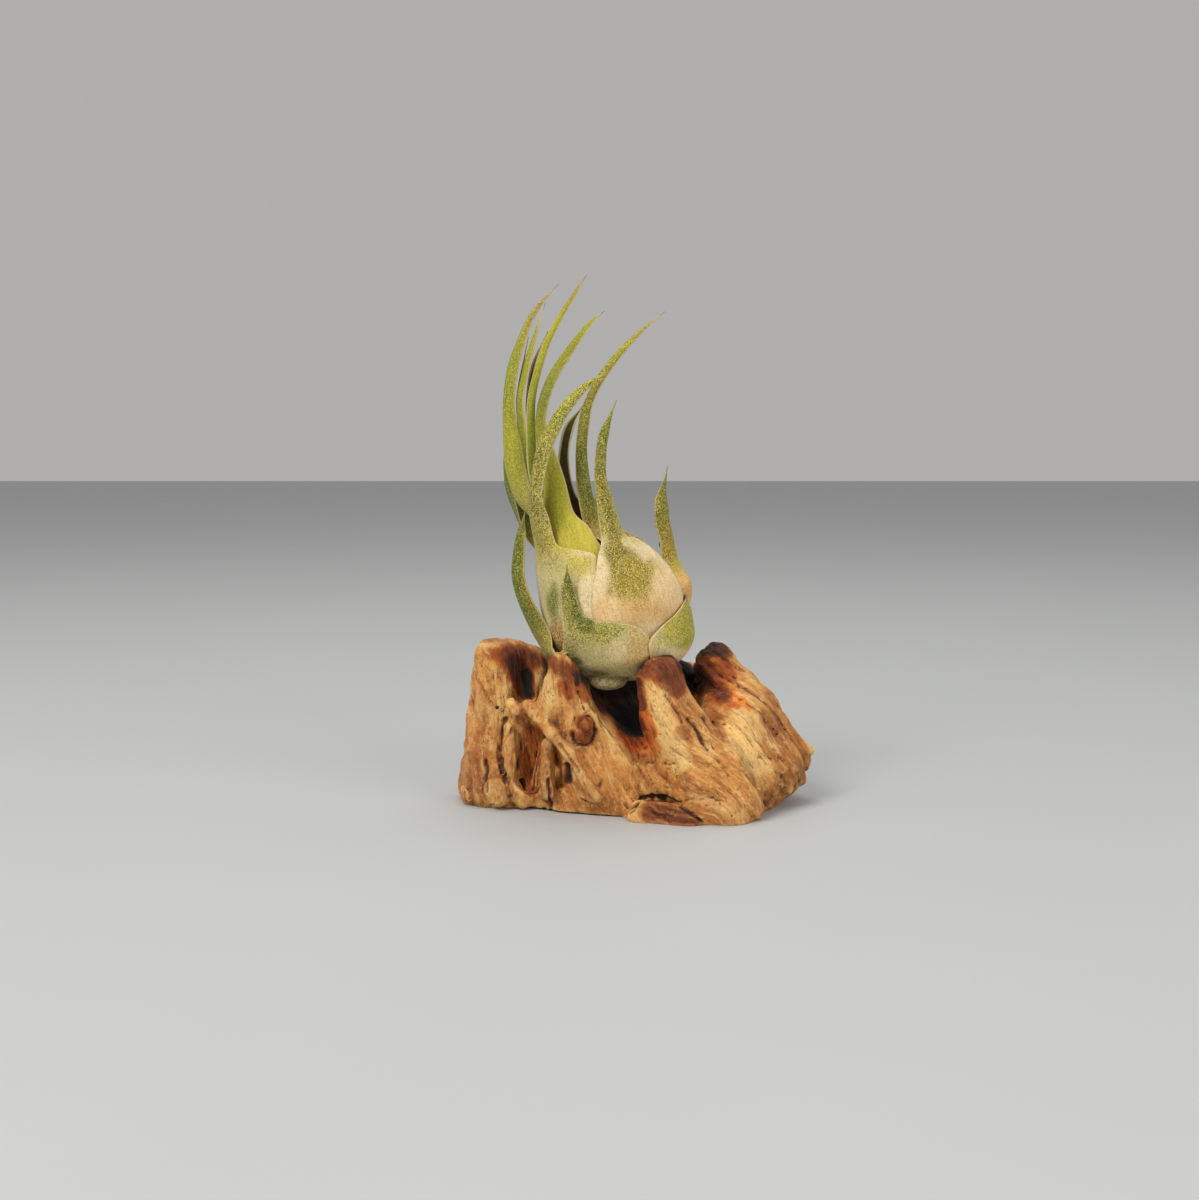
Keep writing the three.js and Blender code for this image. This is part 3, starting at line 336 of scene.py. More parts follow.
# Patches on the leaves' fronts: [x, z, half width, half height, colour, strength].
LEAF_PATCHES = {
    "leaf_front_left": [
        [-32.6, 86, 3.2, 8, MOSS, 0.9], [-20.5, 88, 6.5, 8, CREAM, 0.85],
        [-22, 101.5, 6, 6.5, YELLOW, 0.7], [-31, 70, 7, 8.5, BROWN, 0.8],
        [-18, 106, 10, 2.5, CREAM, 0.6],
    ],
    "leaf_low_front": [
        [-26.9, 97, 1.8, 6, FERN, 0.95], [-25.6, 90, 2.2, 6, FERN, 0.95],
        [-23.6, 84, 2.6, 6, FERN, 0.95], [-20, 78, 3.6, 4.5, FERN, 0.9],
        [-27.5, 84, 1.8, 8, SAGE, 0.7], [-26, 69, 3.4, 8, OLIVE, 0.5],
        [-10, 76, 6, 3.4, FRESH, 0.6], [-24.5, 61, 3.6, 2.2, MOSS, 0.95],
        [-14, 56.6, 4.4, 2, MOSS, 0.9], [1, 68, 8, 9, TAN, 0.7], [-8, 68, 7, 5, CREAM, 0.6],
    ],
    "leaf_low_right": [
        [15.5, 77, 5.2, 8, YELLOW, 0.8], [14, 64, 10, 5.5, CREAM, 0.85], [5.5, 66, 3, 9, TAN, 0.7],
    ],
    "leaf_front_centre": [
        [-1, 95.5, 10.5, 9.5, GOLD, 0.95], [-9, 106, 6, 9, OLIVE, 0.85],
        [7.5, 97, 5, 5.5, SAGE, 0.6], [-13, 99, 3, 7, CREAM, 0.7], [-14, 84, 5, 4, TAN, 0.45],
        [4, 83, 14, 7, TAN, 0.4], [12, 92, 7, 9, PINK, 0.8],
    ],
    "leaf_right": [
        [19, 92, 4, 8, TAN, 0.8], [13, 104, 3, 6, GOLD, 0.7],
    ],
    "leaf_low_left": [
        [-36.9, 76, 3.6, 8, OLIVE, 0.7], [-33, 66, 4, 6, OLIVE, 0.6],
    ],
}

PATCH_DEPTH = 8  # a patch colours only what lies in front of this y
WANDER_SIZE = (6, 6, 14)  # coarse and fine waves that the colours' borders follow
FINE_WANDER_SIZE = (2.2, 2.2, 7)
TONE_WANDER = 2.5  # how far a change of colour wanders up and down
BAND_WANDER = (0.10, 0.07)  # and across the leaf, by the coarse and the fine wave
PATCH_WANDER = (0.2, 0.35)  # and round a patch
BAND_FADE = (-0.15, 0.35)  # where the sides' colour begins and is full, from the band's edge
PATCH_FADE = (1.15, 0.45)  # where a patch ends and is full, as a share of its size
RIM_FADE = (0.9, 0.25)  # distances from the margin where the pale rim, partly painted sheen, begins and is full
RIM_START = 6  # the rim appears over this length from the leaf's base
DRY_FADE = (5.0, 0.5)  # distances from the tip where it begins to dry and is dry
PALE_BRIGHTNESS = (0.32, 0.55)  # scurf shows less and less on a tint this bright
PALE_LOSS = 0.5
BARE_LOSS = 0.4  # how much less scurf shows on a bare patch
BRIGHTNESS_SHARES = np.array([0.3, 0.6, 0.1])

LEAF_GRAIN_SCALE = 3000.0  # scales in a metre
LEAF_CLUMP_SCALE = 420.0
VEINS_ACROSS = 1.3  # waves in a mm
VEINS_ALONG = 0.09
VEIN_RELIEF = (0.0002, 0.5)  # height in metres, strength
SCALE_RELIEF = (0.00015, 0.5)
# Ramps: [from, to, result at from, result at to].
CLUMP_RAMP = (0.38, 0.58, 0.6, 1.0)
UNDER_RAMP = (0.34, 0.58, 0.95, 0.0)
FLECK_RAMP = (0.52, 0.74, 0.0, 0.75)
VEIN_RAMP = (0.55, 0.35, 0.0, 0.22)
LEAF_ROUGHNESS = (0.3, 0.7, 0.62, 0.86)

# ---- the wood
# limbs and hollows: [from, to, radius at from, radius at to, depth over width]
WOOD_LIMBS = [
    [[-58.8, 8, 61], [-63.5, 5, 6], 8.6, 11.5, 1.5],  # left block
    [[-53, 10, 58], [-50.2, 4, 7], 9.5, 15, 1.5],
    [[-43.5, 13, 55], [-44, 9, 20], 8.5, 12, 1.4],
    [[-44.5, 3, 28], [-41.6, 2, 6], 11, 13, 1.3],
    [[-29.7, -20.5, 60], [-27, -14, 42.7], 6, 12.5, 1],  # front ridge
    [[-27, -14, 42.7], [-13.1, -12, 16.5], 12.5, 17, 1],
    [[-13.1, -12, 16.5], [-6.8, -8, 5.6], 17, 15, 1],
    [[9.8, -24, 56.8], [13.1, -24, 40.3], 9.4, 12, 1],  # front lobe
    [[13.1, -24, 40.3], [31, -24, 16.1], 12, 17, 1],
    [[31, -24, 16.1], [36.5, -30, 6], 17, 15, 1.05],  # front foot
    [[3, -33, 1], [22, -38, 0.5], 7, 7.5, 1],  # flake under the front
    [[-33, -12, 3.5], [-8, -20, 3], 8.5, 9.5, 1],  # foot of the ridge
    [[-62, -3, 4], [-42, -4, 4], 8, 8, 1.3],  # foot of the left block
    [[41.8, -4, 33], [41.6, -8, 14.8], 18, 22, 1],
    [[34.6, 12, 55.6], [43.5, 8, 35.5], 10, 14.5, 1.2],  # right lobe
    [[43.5, 8, 35.5], [54.5, 4, 15], 14.5, 17, 1.4],
    [[47.2, 5, 49.6], [52.4, 5, 41.5], 5.2, 6, 1.3],
    [[53.6, 6, 37.4], [64.6, 4, 21.6], 7.5, 6.5, 1.3],
    [[55.3, 4, 14.5], [69.4, 3, 16.8], 17, 6, 1.2],  # right end
    [[-42, 26, 42], [-40, 20, 12], 11, 18, 1],  # back left lobe
    [[-8, 34, 42], [-4, 26, 12], 9, 17, 1.2],  # back lobe
    [[22, 30, 46], [24, 24, 12], 10, 18, 1],  # back right lobe
    [[-34, 25, 43], [14, 27, 44], 9, 9, 1],  # wall behind the hollow
    [[-32, 20, 24], [16, 22, 24], 14, 14, 1],
    [[-14, 0, 10], [12, 2, 12], 18, 20, 1.4],  # floor of the hollow
]
WOOD_HOLLOWS = [
    [[-42, -10, 66], [-46.5, -9, 45], 6.5, 4.6, 2],  # gap right of the left block
    [[-9.4, -14, 49.3], [-2.3, -31, 33.7], 9, 6.5, 1],  # valley below the bulb
    [[-2.3, -31, 33.7], [6.6, -43, 20.6], 6.5, 2.2, 1],
    [[22.5, -10, 62], [29.4, -20, 49.5], 6.5, 5, 1.6],  # valley left of the right lobe
    [[29.4, -20, 49.5], [43.7, -25, 41], 5, 2, 1],
    [[-28.5, -12.2, 66], [-28.5, -12.2, 58], 6, 5, 1],  # room for the leaf on the left
    [[-20, 36, 66], [-22, 46, 52], 8, 5, 1],  # valleys at the back
    [[8, 40, 66], [10, 50, 48], 8, 5, 1],
]
# Smaller forms on the same surface, joined and cut more sharply.
WOOD_KNOBS = [
    [[-60, 2, 62.2], [-54.5, 0, 62.2], 4.4, 4.6, 1],  # corner of the left block
    [[-50.4, -15.5, 44], [-48.6, -16.5, 41.5], 2.6, 2.4, 1],  # knobs bridging the gap
    [[-43.5, -17, 43.4], [-41.5, -19, 41.8], 2.8, 2.6, 1],
    [[-37.4, -19, 44], [-36, -21, 41], 2.6, 2.4, 1],
    [[-41, -20.4, 40.6], [-34, -26.2, 34], 2.2, 2.3, 1],  # pale twig across the ridge
    [[-34, -26.2, 34], [-26.5, -28.4, 25.5], 2.3, 2.4, 1],
    [[-26.5, -28.4, 25.5], [-16, -29.4, 9], 2.4, 2.8, 1],
    [[-56.8, -15.5, 8.6], [-55.8, -15.8, 5.8], 5, 4.6, 1],  # knobs at the foot of the left block
    [[-46.6, -15.4, 8], [-46, -15.6, 4], 3.2, 3.6, 1],
    [[-51.6, -14.8, 34], [-50.8, -15.6, 16], 2.2, 2.8, 1],  # rims of the oval slot
    [[-35.6, -21, 28], [-35.8, -19.5, 8], 3, 3.4, 1],
    [[66, 0, 26], [73.5, -1, 21.5], 3.5, 2, 1],  # nub at the right end
]
WOOD_CUTS = [
    [[-42.3, -18, 33], [-43.4, -16.5, 13.6], 4.4, 6, 1.2],  # oval slot
    [[-21.2, -32.5, 39], [-20.6, -32.5, 34.4], 4.8, 5.2, 1],  # knot
    [[-28.6, -29.5, 19.6], [-27.8, -28.5, 12.6], 1.9, 2.3, 2],  # dark hole by the slot
    [[-47.8, -22, 66], [-49, -19, 52], 5.6, 3, 1],  # burnt shoulder of the left block
    [[33, -26, 66], [30, -27, 52], 6, 5, 1],  # hollow face of the right lobe
    [[16.5, -40, 44.5], [23.5, -44, 31], 1.3, 1.6, 1],  # furrow down the front lobe
]
WOOD_FILLS = [
    [[-43.6, -19, 31.6], [-40.4, -20.5, 33], 2.2, 2, 1],  # stub at the top of the slot
    [[-38.2, -19.5, 28], [-41.2, -18.5, 11], 0.9, 1.6, 1],  # long splinter on its right
    [[-19.8, -29.5, 38.4], [-19.8, -29.5, 37.8], 2.8, 2.8, 1],  # heart of the knot
    [[-22.4, -29, 33.8], [-22.4, -29, 33.4], 2.2, 2.2, 1],
]
WOOD_BLEND = 5
CUT_BLEND = 2.5
KNOB_BLEND = 2.2
FINE_BLEND = 0.9
SEAT_CLEARANCE = 1.0
WOOD_TOP = 66.6
UNDERSIDE_RISE = 3
UNDERSIDE_REACH = [58, 30]
SKIN_CELL = 0.8
SKIN_MIN = [-80, -54, -2.4]
SKIN_MAX = [80.8, 54, 72]
SKIN_BAND = 3.6  # noise is worked out only this near the surface
FAR_OUTSIDE = 1000.0
JOIN_REACH = 14  # a limb is worked out this far round itself
CUT_REACH = 5
BULB_ROUNDS = 5  # rounds of finding the nearest place on the bulb's axis
BULB_STEEPNESS = 0.8  # keeps the rough distance to the bulb from running ahead of the true one
# [x, how far the grain turns there, in radians]
GRAIN_TURN = [[-50, 0.05], [-30, 0.22], [-12, 0.52], [8, 0.5], [30, 0.78], [60, 0.8]]
GRAIN_SWAY = 0.12  # radians
GRAIN_SWAY_SIZE = 26
GRAIN_PIVOT = 35  # height that the grain turns about
GRAIN_DEPTH_LEAN = (0.3, -0.25)  # how the grain shifts across and along with depth
GRAIN_SIDE_LEAN = 0.2
GRAIN_WAVE = 1.6
GRAIN_WAVE_SIZE = 17
# Grooves along the grain: [sizes across, along and into it, seed, narrowness, depth].
RIDGE_GROOVES = [(7, 36, 14), 17, 3.4, 1.3]
FURROWS = [(3.4, 20, 9), 23, 4, 0.8]
FINE_GROOVES = [(2.6, 13, 6), 97, 5, 0.5]
# Waves in the surface: [height, size of a wave, seed, rounds of ever finer waves].
GRAIN_WAVES = [0.8, (9, 34, 16), 11, 2]
SMALL_WAVES = [0.5, 5, 29, 1]
RAGGED_WAVES = [1.7, 8, 41, 2]
CHEWED_WAVES = [0.7, (4.5, 6, 9), 47, 1]
TOP_WAVES = [0.5, 6, 61, 1]
PITS = [0.16, 1.9, 91, 1]
GRAIN_PITS = [0.2, (1.7, 9, 4), 93, 1]
# The same for the edges of burns and tones, as shares of their half width.
BURN_FRAY = [0.14, 5, 59, 1]
BURN_GRAIN_FRAY = [0.17, (3, 12, 6), 53, 1]
TONE_FRAY = [0.3, 4, 67, 1]
TONE_FINE_FRAY = [0.2, 1.6, 71, 1]
WOOD_SHRINK = 0.15  # how far the whole surface lies inside the limbs
RAGGED_END = (52, 68)  # x from and to which the right end grows ragged
CHEWED_END = (-44, -52)  # and the left end looks chewed
FOOT_FADE = (0.2, 1.5)  # pits and marks begin and are full at these heights over the floor
FOOT_HEIGHT = -0.2  # the wood is cut off below this height
RELIEF_ROUNDS = 8

# The marks below are placed as the front view shows them: [x, z] on the upright plane
# through the middle of the piece, along the camera's line of sight.
# Burnt patches, some of them black painted shade in hollows: [from x, z, to x, z, half width at
# from, half width at to, strength, redness].
FRONT_BURNS_AND_SHADE = [
    [-52.4, 61.9, -42.1, 59.3, 4.8, 4.7, 0.56, 0.25],  # the left block's burnt shoulder
    [-49.8, 59.3, -45.2, 48.3, 5, 3.6, 0.7, 0.3],
    [-55.5, 61.9, -49.9, 53, 4, 2.5, 0.46, 0.5],
    [-44.7, 53.3, -44, 45.5, 2.8, 2.2, 0.96, 0],
    [-36.4, 59.8, -22.9, 53, 2.7, 4.2, 0.42, 0.1],  # cap of the front ridge
    [-22.9, 53, -12, 40.4, 3.6, 1.5, 0.5, 0.1],
    [-29.1, 49.1, -27.1, 45.1, 2.7, 2.1, 0.46, 0.5],
    [-22.9, 46.7, -19.8, 44.1, 2.5, 1.9, 0.42, 0.3],
    [-9.4, 49.1, -4.8, 44.1, 6.9, 6.3, 1, 0],  # black hollow under the bulb: burnt wood under painted shadow of the bulb
    [-4.8, 44.1, -3.7, 40.4, 6.5, 5.2, 0.95, 0],
    [-4.8, 38.8, -1.1, 32.5, 4.2, 5.9, 0.74, 0.6],
    [-1.6, 32.5, 1.5, 26.7, 5.2, 5, 0.56, 0.9],
    [2, 27.2, 5.7, 21.9, 4.8, 4, 0.2, 1],
    [3.6, 21.9, 5.7, 15.1, 4, 2.7, 0.14, 1],
    [4, 55.1, 15.4, 57.7, 4.6, 4, 0.44, 0.1],  # cap of the front lobe
    [12.3, 54, 17, 49.1, 5.4, 4.8, 0.48, 0.1],
    [1.4, 50.4, 3.2, 39.9, 2.9, 2.3, 0.6, 0.2],
    [3.9, 37.8, 7.2, 29.3, 2.3, 2.3, 0.46, 0.7],
    [21.1, 58.2, 28.9, 50.9, 4.4, 5.9, 0.72, 0.15],  # valley left of the right lobe
    [28.9, 54, 36.2, 45.1, 6.3, 4.4, 0.62, 0.4],
    [32.1, 44.1, 43.5, 40.4, 2.5, 1.3, 0.4, 0.8],
    [26.3, 64, 36.1, 64.5, 4, 4.2, 0.56, 0.1],
    [35.1, 60.8, 39.3, 52.5, 3.6, 2.9, 0.42, 0.5],
    [39.8, 47.2, 47.7, 39.3, 2.3, 1.3, 0.22, 1],
    [-42.5, 28.8, -43.2, 17.7, 3.8, 4.4, 0.34, 0.35],  # inside the slot: burnt, and darkened as painted shade in the recess
    [-43.6, 17.7, -43.6, 5, 4, 2.9, 0.34, 0.35],
    [-20.9, 33.3, -19.6, 29.3, 3.6, 4, 0.5, 0.2],  # knot
    [-25.5, 28.8, -18.8, 25.1, 1.7, 1.9, 0.42, 0.15],
    [-28.2, 15.1, -27.6, 9.2, 1.4, 1.8, 0.9, 0],  # hole by the slot, blackened as painted shade inside it
    [7.3, -4.1, 24.1, -8.3, 4.8, 4.4, 0.34, 0.1],  # flake, darkened as painted shade under the front
]
# Pale and dark amber wood, the pale partly painted light on lit tops and faces and the dark partly
# painted shade low down and in shaded places: [x, z from, x, z to, half width at each end, how
# much], dark below zero.
FRONT_TONES_AND_LIGHT = [
    [-64.3, 66.5, -56.5, 66, 1.4, 1.3, 0.7],  # pale wood and painted light on lit tops and faces
    [-65.9, 56.6, -68.1, 45.1, 2.1, 2.1, 0.3],
    [-58.7, 56.6, -51.5, 43, 1.9, 2.1, 0.5],
    [-39.5, 56.1, -35.4, 43, 2.9, 3.6, 0.8],
    [-27.1, 24.1, -16.7, 9.2, 1.9, 1.9, 0.35],
    [10.3, 46.2, 11.4, 31.4, 4.2, 4.4, 1],
    [10.3, 32.5, 18.7, 17.7, 4.6, 4.6, 1],
    [41.5, 31.4, 53.1, 14.5, 4.8, 4.4, 1],
    [46, 40.4, 53, 29, 4.4, 4.4, 0.6],
    [47.5, 55.6, 53.8, 49.1, 3.1, 2.5, 0.5],
    [24, 2.9, 43.9, -5.7, 2.7, 3.1, 0.5],
    [-12.5, 32.5, -4.2, 17.7, 2.3, 2.7, 0.5],
    [-45.8, 34.6, -36.5, 34.6, 1.3, 1.3, 0.3],
    [-61, 62.5, -55, 61.5, 3.2, 3.2, -0.45],  # dark amber wood and painted shade
    [-59.7, 51.4, -64.5, 31.4, 4.8, 4.8, -0.35],
    [-68.8, 17.7, -67.9, 0.7, 4.4, 4.4, -0.75],
    [-56.9, 8.2, -50.2, -0.9, 4.8, 4.2, -0.7],
    [-36, 8.2, -35.5, -1.4, 2.3, 2.7, -0.7],
    [-21.9, 17.7, -12.5, 1.8, 4.8, 4.8, -0.5],
    [-26.1, -1.9, -8.4, -5.7, 2.7, 2.1, -0.5],
    [7.3, -4.1, 24.1, -8.3, 4.6, 4.2, -1],  # flake, darkened as painted shade under the front
    [59.2, 32.5, 67.7, 13.5, 5.4, 5.4, -0.45],
    [65.7, 8.2, 57.5, 1.3, 3.8, 4.2, -0.8],
    [55.1, 49.1, 58.6, 40.9, 1.9, 2.1, -0.8],
    [15.5, 43, 23.3, 31.4, 1.4, 1.7, -0.6],
    [29, 35.7, 37.4, 27.2, 2.3, 2.5, -0.6],
    [-26, 41.4, -32.3, 32.5, 2.5, 2.9, -0.5],
    [-50, 32.5, -55.3, 13.5, 3.1, 3.6, -0.4],
    [-18.8, 50.4, -12.5, 36.7, 2.3, 2.3, -0.4],
    [-2.1, 13.5, 12.5, 2.9, 2.1, 1.9, -0.35],
]
# Cracks, holes and furrows, each darkened by its depth as painted shade: [from x, z, to x, z, half
# width, depth].
FRONT_DENTS = [
    [-57, 39.6, -57, 39.4, 0.6, 2.4],  # borer holes
    [-51, 39.6, -51, 39.4, 0.5, 1.8],
    [-55.1, 37.6, -55.1, 37.3, 0.4, 1.4],
    [-19.3, 36.1, -16.5, 32.5, 0.8, 1.6],  # round the knot
    [-16.5, 32.5, -16.7, 27.2, 0.8, 1.6],
    [-16.7, 27.2, -19.6, 23.8, 0.8, 1.6],
    [-19.6, 23.8, -24.2, 24.5, 0.8, 1.4],
    [-24.2, 24.5, -26.3, 28.5, 0.8, 1.4],
    [-24.2, 35.4, -25, 33.3, 0.7, 1.2],
    [-28.5, 15.1, -27.5, 9.2, 1.1, 4],  # hole by the slot, darkened by its depth as painted shade
    [-23.2, 1.2, -16.9, -1, 0.4, 1.8],  # slit
    [-1.9, -4.8, 3.3, 1.2, 0.9, 2.4],  # arch over the flake
    [3.3, 1.2, 10.4, 2, 1, 2.8],
    [10.4, 2, 18.8, -1.2, 1, 2.8],
    [18.8, -1.2, 29.5, -10.6, 0.9, 2.6],
    [7.3, -4.6, 15.7, -6.7, 0.5, 1.2],  # flake's own cracks
    [12.6, -6.7, 16.8, -10.5, 0.5, 1.2],
    [12.9, 45.1, 17.6, 37.6, 0.8, 1.3],  # cracks on the lobe
    [15, 42, 20.7, 32.5, 0.6, 1],
    [22.8, 34.6, 30.2, 22.2, 0.9, 1.9],
    [29, 35.1, 32.7, 28.8, 0.7, 1.3],
    [32.7, 33.6, 38.4, 27.2, 0.6, 1],
    [46.3, 17.7, 51.7, 6.6, 1.3, 1],
    [12, 16.1, 16.6, 15.3, 0.6, 0.9],
    [40.8, 54, 45, 46.2, 0.6, 0.9],
    [51.7, 50.4, 57.5, 48.3, 0.8, 1.2],
    [-62.2, 17.2, -62, 3.9, 1, 2],  # creases of the left block
    [-55.8, 17.7, -54.1, 8.2, 1, 1.6],
    [-54.1, 34.6, -55.8, 21.9, 0.9, 1.5],
    [-50, 31.4, -54, 26.2, 0.8, 1.2],
    [-47, 9.2, -45.4, 3.9, 1, 1.8],
    [-47.4, 28.3, -48.2, 13.5, 1, 1.9],
    [-36, 9.2, -35, -1.9, 0.9, 2],
    [-41.3, 3.9, -44.7, 2.9, 0.8, 1.4],
    [-40.1, 20.9, -42.3, 5, 0.6, 1.8],
    [-31.3, 24.1, -23, 12.4, 0.8, 1.4],
    [-8.4, 11.4, -2.1, 3.9, 0.6, 0.9],
    [41.6, 26.2, 50, 14.5, 0.7, 1],
    [46.7, 31.4, 57.3, 17.7, 0.7, 1],
    [-18.8, 42, -8.4, 27.2, 0.7, 0.9],
    [-68.6, 45.1, -71.2, 31.4, 0.7, 1],
    [-65.4, 51.4, -60.3, 42, 0.6, 0.8],
]
MARK_WOBBLE = 0.6  # cracks wander this far off their lines
MARK_WOBBLE_SIZE = 3.1
MARK_FACING = (0.0, 0.4)  # a mark shows where the skin turns this much to the front
MARK_BACK = 2  # and only in front of this y
MARK_TAPER = 0.7  # what a crack keeps of its width at its far end
MARK_BREAKS = 0.35
SINK_FADE = (1.4, 0.1)  # where a mark begins and is full, as a share of its half width
DARK_FADE = (1.4, 0.3)
DARK_DEPTH = 2.2  # a mark this deep gets the darkest painted shade
BURN_FADE = (1.6, 0.5)
DEEP_BURN_FADE = (1.3, 0.7)
BURN_BACK = (12, 6)  # y where a burn on the front ends and is full
TONE_FADE = (1.7, 0.3)
TONE_BACK = (10, 2)  # the same for a tone
# Burnt places round the bulb and out of the camera's sight, with painted shade under the bulb, as
# limbs: [..., strength].
DEEP_BURNS_AND_SHADE = [
    [[-4, 2, 60], [-1, 2, 40], 31, 20, 1],  # the bowl the bulb sits in: burnt, with painted shade under the bulb
    [[16, 22, 62], [22, 16, 50], 12, 9, 1],
    [[33, 8, 68], [35, 8, 60], 9, 6, 0.7],
    [[-20, 38, 60], [-21, 46, 50], 9, 5, 0.7],
    [[9, 40, 60], [10, 50, 48], 9, 5, 0.65],
]

HONEY = (228, 160, 80)
STRAW = (252, 208, 132)
OCHRE = (186, 114, 50)
CLAY = (166, 96, 40)
SIENNA = (156, 92, 40)
BARK = (122, 70, 30)
GRIT = (112, 64, 28)
# Painted shade in the wood's recesses.
RECESS_SHADE = (84, 46, 20)
# Painted shade inside thin cracks, and inside dents and holes below.
CRACK_SHADE = (66, 38, 20)
DENT_SHADE = (62, 34, 18)
AMBER_AND_SHADE = (192, 160, 128)  # multiplies the wood's colour where it is dark amber and where painted shade darkens it
UMBER = (166, 124, 96)  # multiplies it where it is scorched
EMBER = (252, 178, 96)  # multiplies it at the glowing edge of a burn
SOOT = (68, 38, 22)
RUST = (116, 36, 10)
# Char black, which also serves as painted shade in the hollow under the bulb and in holes.
CHAR_AND_SHADE = (16, 9, 6)

# Patterns drawn out along the grain: [name, waves in a mm across it, along it, detail, roughness].
GRAIN_PATTERNS = [
    ["broad", 0.10, 0.03, 3.0, 0.6],
    ["streak", 0.42, 0.06, 4.0, 0.65],
    ["fibre", 1.5, 0.16, 4.0, 0.75],
    ["crack", 0.8, 0.09, 2.0, 0.5],
    ["breaks", 0.25, 0.07, 1.0, 0.5],
]
# Colours laid over the plain wood, in turn: [pattern, none at, full at, strength, colour, blend].
WOOD_LAYERS = [
    ["streak", 0.5, 0.7, 0.8, STRAW],
    ["streak", 0.46, 0.3, 0.75, SIENNA],
    ["patches", 0.48, 0.32, 0.8, CLAY],
    ["patches", 0.54, 0.70, 0.6, STRAW],
    # The wood's pale and dark tones, with painted light on lit faces and painted shade in shaded
    # places.
    ["tone_and_light", 0.0, 1.0, 0.75, STRAW],
    ["tone_and_light", 0.0, -1.0, 0.85, AMBER_AND_SHADE, "MULTIPLY"],
    ["fibre", 0.47, 0.30, 0.65, BARK],
    ["grit", 0.45, 0.28, 0.5, GRIT],
    ["grit", 0.56, 0.72, 0.5, STRAW],
    # Raised places paler, as worn wood and painted highlight; sunken places darkened with painted
    # shade.
    ["wear_and_shade", 0.1, 0.7, 0.6, STRAW],
    ["wear_and_shade", -0.08, -0.6, 0.85, RECESS_SHADE],
]
PATCH_SCALE = 80.0  # in a metre
GRIT_SCALE = 620.0
CRACK_WIDTH = 0.009  # a thin crack runs where its pattern is this near its middle
BREAK_RAMP = (0.52, 0.58)
CRACK_STRENGTH = 0.8
BROAD_RAMP = (0.36, 0.62)
STREAKY_EDGE = (0.3, 0.7, -0.12, 0.12)  # how streaks and fibres fray a burn's edge
FIBROUS_EDGE = (0.3, 0.7, -0.07, 0.07)
SCORCHED_AT = (0.04, 0.40)  # how burnt the wood is where each colour begins and is full
SOOTY_AT = (0.36, 0.74)
GLOWING_AT = (0.02, 0.34)
RUSTY_AT = (0.36, 0.70)
CHARRED_AT = (0.70, 0.98)
WOOD_ROUGHNESS = (0.3, 0.7, 0.46, 0.68)
BURNT_ROUGHNESS = (0.2, 0.8, 0.0, 0.16)
# Fine relief: [pattern, height in metres, strength].
WOOD_RELIEF = [
    ["streak", 0.0014, 0.8], ["fibre", 0.0008, 0.9], ["grit", 0.0006, 0.7], ["closed", 0.0006, 0.9],
]

# ---- floor, light and room
FLOOR_COLOUR = (186, 189, 190)
FLOOR_SHADE = (182, 185, 186)
FLOOR_HALF = 4000.0  # half the floor's side
LIGHT_AIM = (0, 0, 0.09)  # metres, as are the lights' places and sizes
WARM_WHITE = (1.0, 0.97, 0.93)
# [name, place, size, watts, colour]
LIGHTS = [
    ["key", (-0.8, -0.85, 1.2), 0.8, 17, WARM_WHITE],
    ["fill", (0.95, -0.9, 0.55), 1.1, 6.9, WARM_WHITE],
    ["top", (0.1, 0.35, 1.5), 1.0, 6, (1.0, 0.99, 0.97)],
]
ROOM_COLOUR = (0.86, 0.85, 0.83, 1)
ROOM_STRENGTH = 0.5

MIX_COLOUR_INPUTS = (0, 6, 7)  # by place, since a mix node's sockets share their names
MIX_COLOUR_OUTPUT = 2


# ---- small helpers

def linear(colour):
    """A 0 to 255 colour as linear RGB."""
    c = np.asarray(colour, float) / 255
    return np.where(c <= 0.04045, c / 12.92, ((c + 0.055) / 1.055) ** 2.4)


def smoothstep(low, high, x):
    f = np.clip((x - low) / (high - low), 0, 1)
    return f * f * (3 - 2 * f)


def lattice(cells, seed):
    """A fixed number from -1 to 1 for each whole-numbered cell."""
    steps = [cells[..., i].astype(np.int64) * HASH_STEPS[i] for i in range(3)]
    h = (sum(steps) + seed * HASH_SEED_STEP) & HASH_MASK
    h = ((h ^ (h >> 13)) * HASH_MIX) & HASH_MASK
    return ((h ^ (h >> 16)) & 0xFFFF) / 32767.5 - 1


def noise(points, size, seed):
    """Smooth noise from -1 to 1; size is the wavelength, one number or one for each axis."""
    p = points / np.asarray(size, float)
    cell = np.floor(p)
    f = p - cell
    f = f * f * (3 - 2 * f)
    total = np.zeros(len(p))
    for corner in range(8):
        step = np.array([corner & 1, (corner >> 1) & 1, (corner >> 2) & 1])
        weight = np.prod(np.where(step, f, 1 - f), axis=1)
        total += weight * lattice(cell + step, seed)
    return total


def waves(points, height, size, seed, rounds):
    """Waves of about this height, with rounds of ever finer and lower ones over them."""
    total = np.zeros(len(points))
    for i in range(rounds):
        total += noise(points, np.asarray(size, float) / 2 ** i, seed + i) / 2 ** i
    return height * total


def smooth_rows(rows, t):
    """Values on a smooth curve through the rows, at positions t counted in rows."""
    rows = np.asarray(rows, float)
    last = len(rows) - 1
    i = np.minimum(np.floor(t).astype(int), last - 1)
    f = (t - i).reshape((-1,) + (1,) * (rows.ndim - 1))
    p0, p1 = rows[np.maximum(i - 1, 0)], rows[i]
    p2, p3 = rows[i + 1], rows[np.minimum(i + 2, last)]
    m1, m2 = (p2 - p0) / 2, (p3 - p1) / 2
    f2, f3 = f * f, f * f * f
    place = (2 * f3 - 3 * f2 + 1) * p1 + (f3 - 2 * f2 + f) * m1
    return place + (3 * f2 - 2 * f3) * p2 + (f3 - f2) * m2


def unit(vectors):
    return vectors / np.linalg.norm(vectors, axis=-1, keepdims=True)


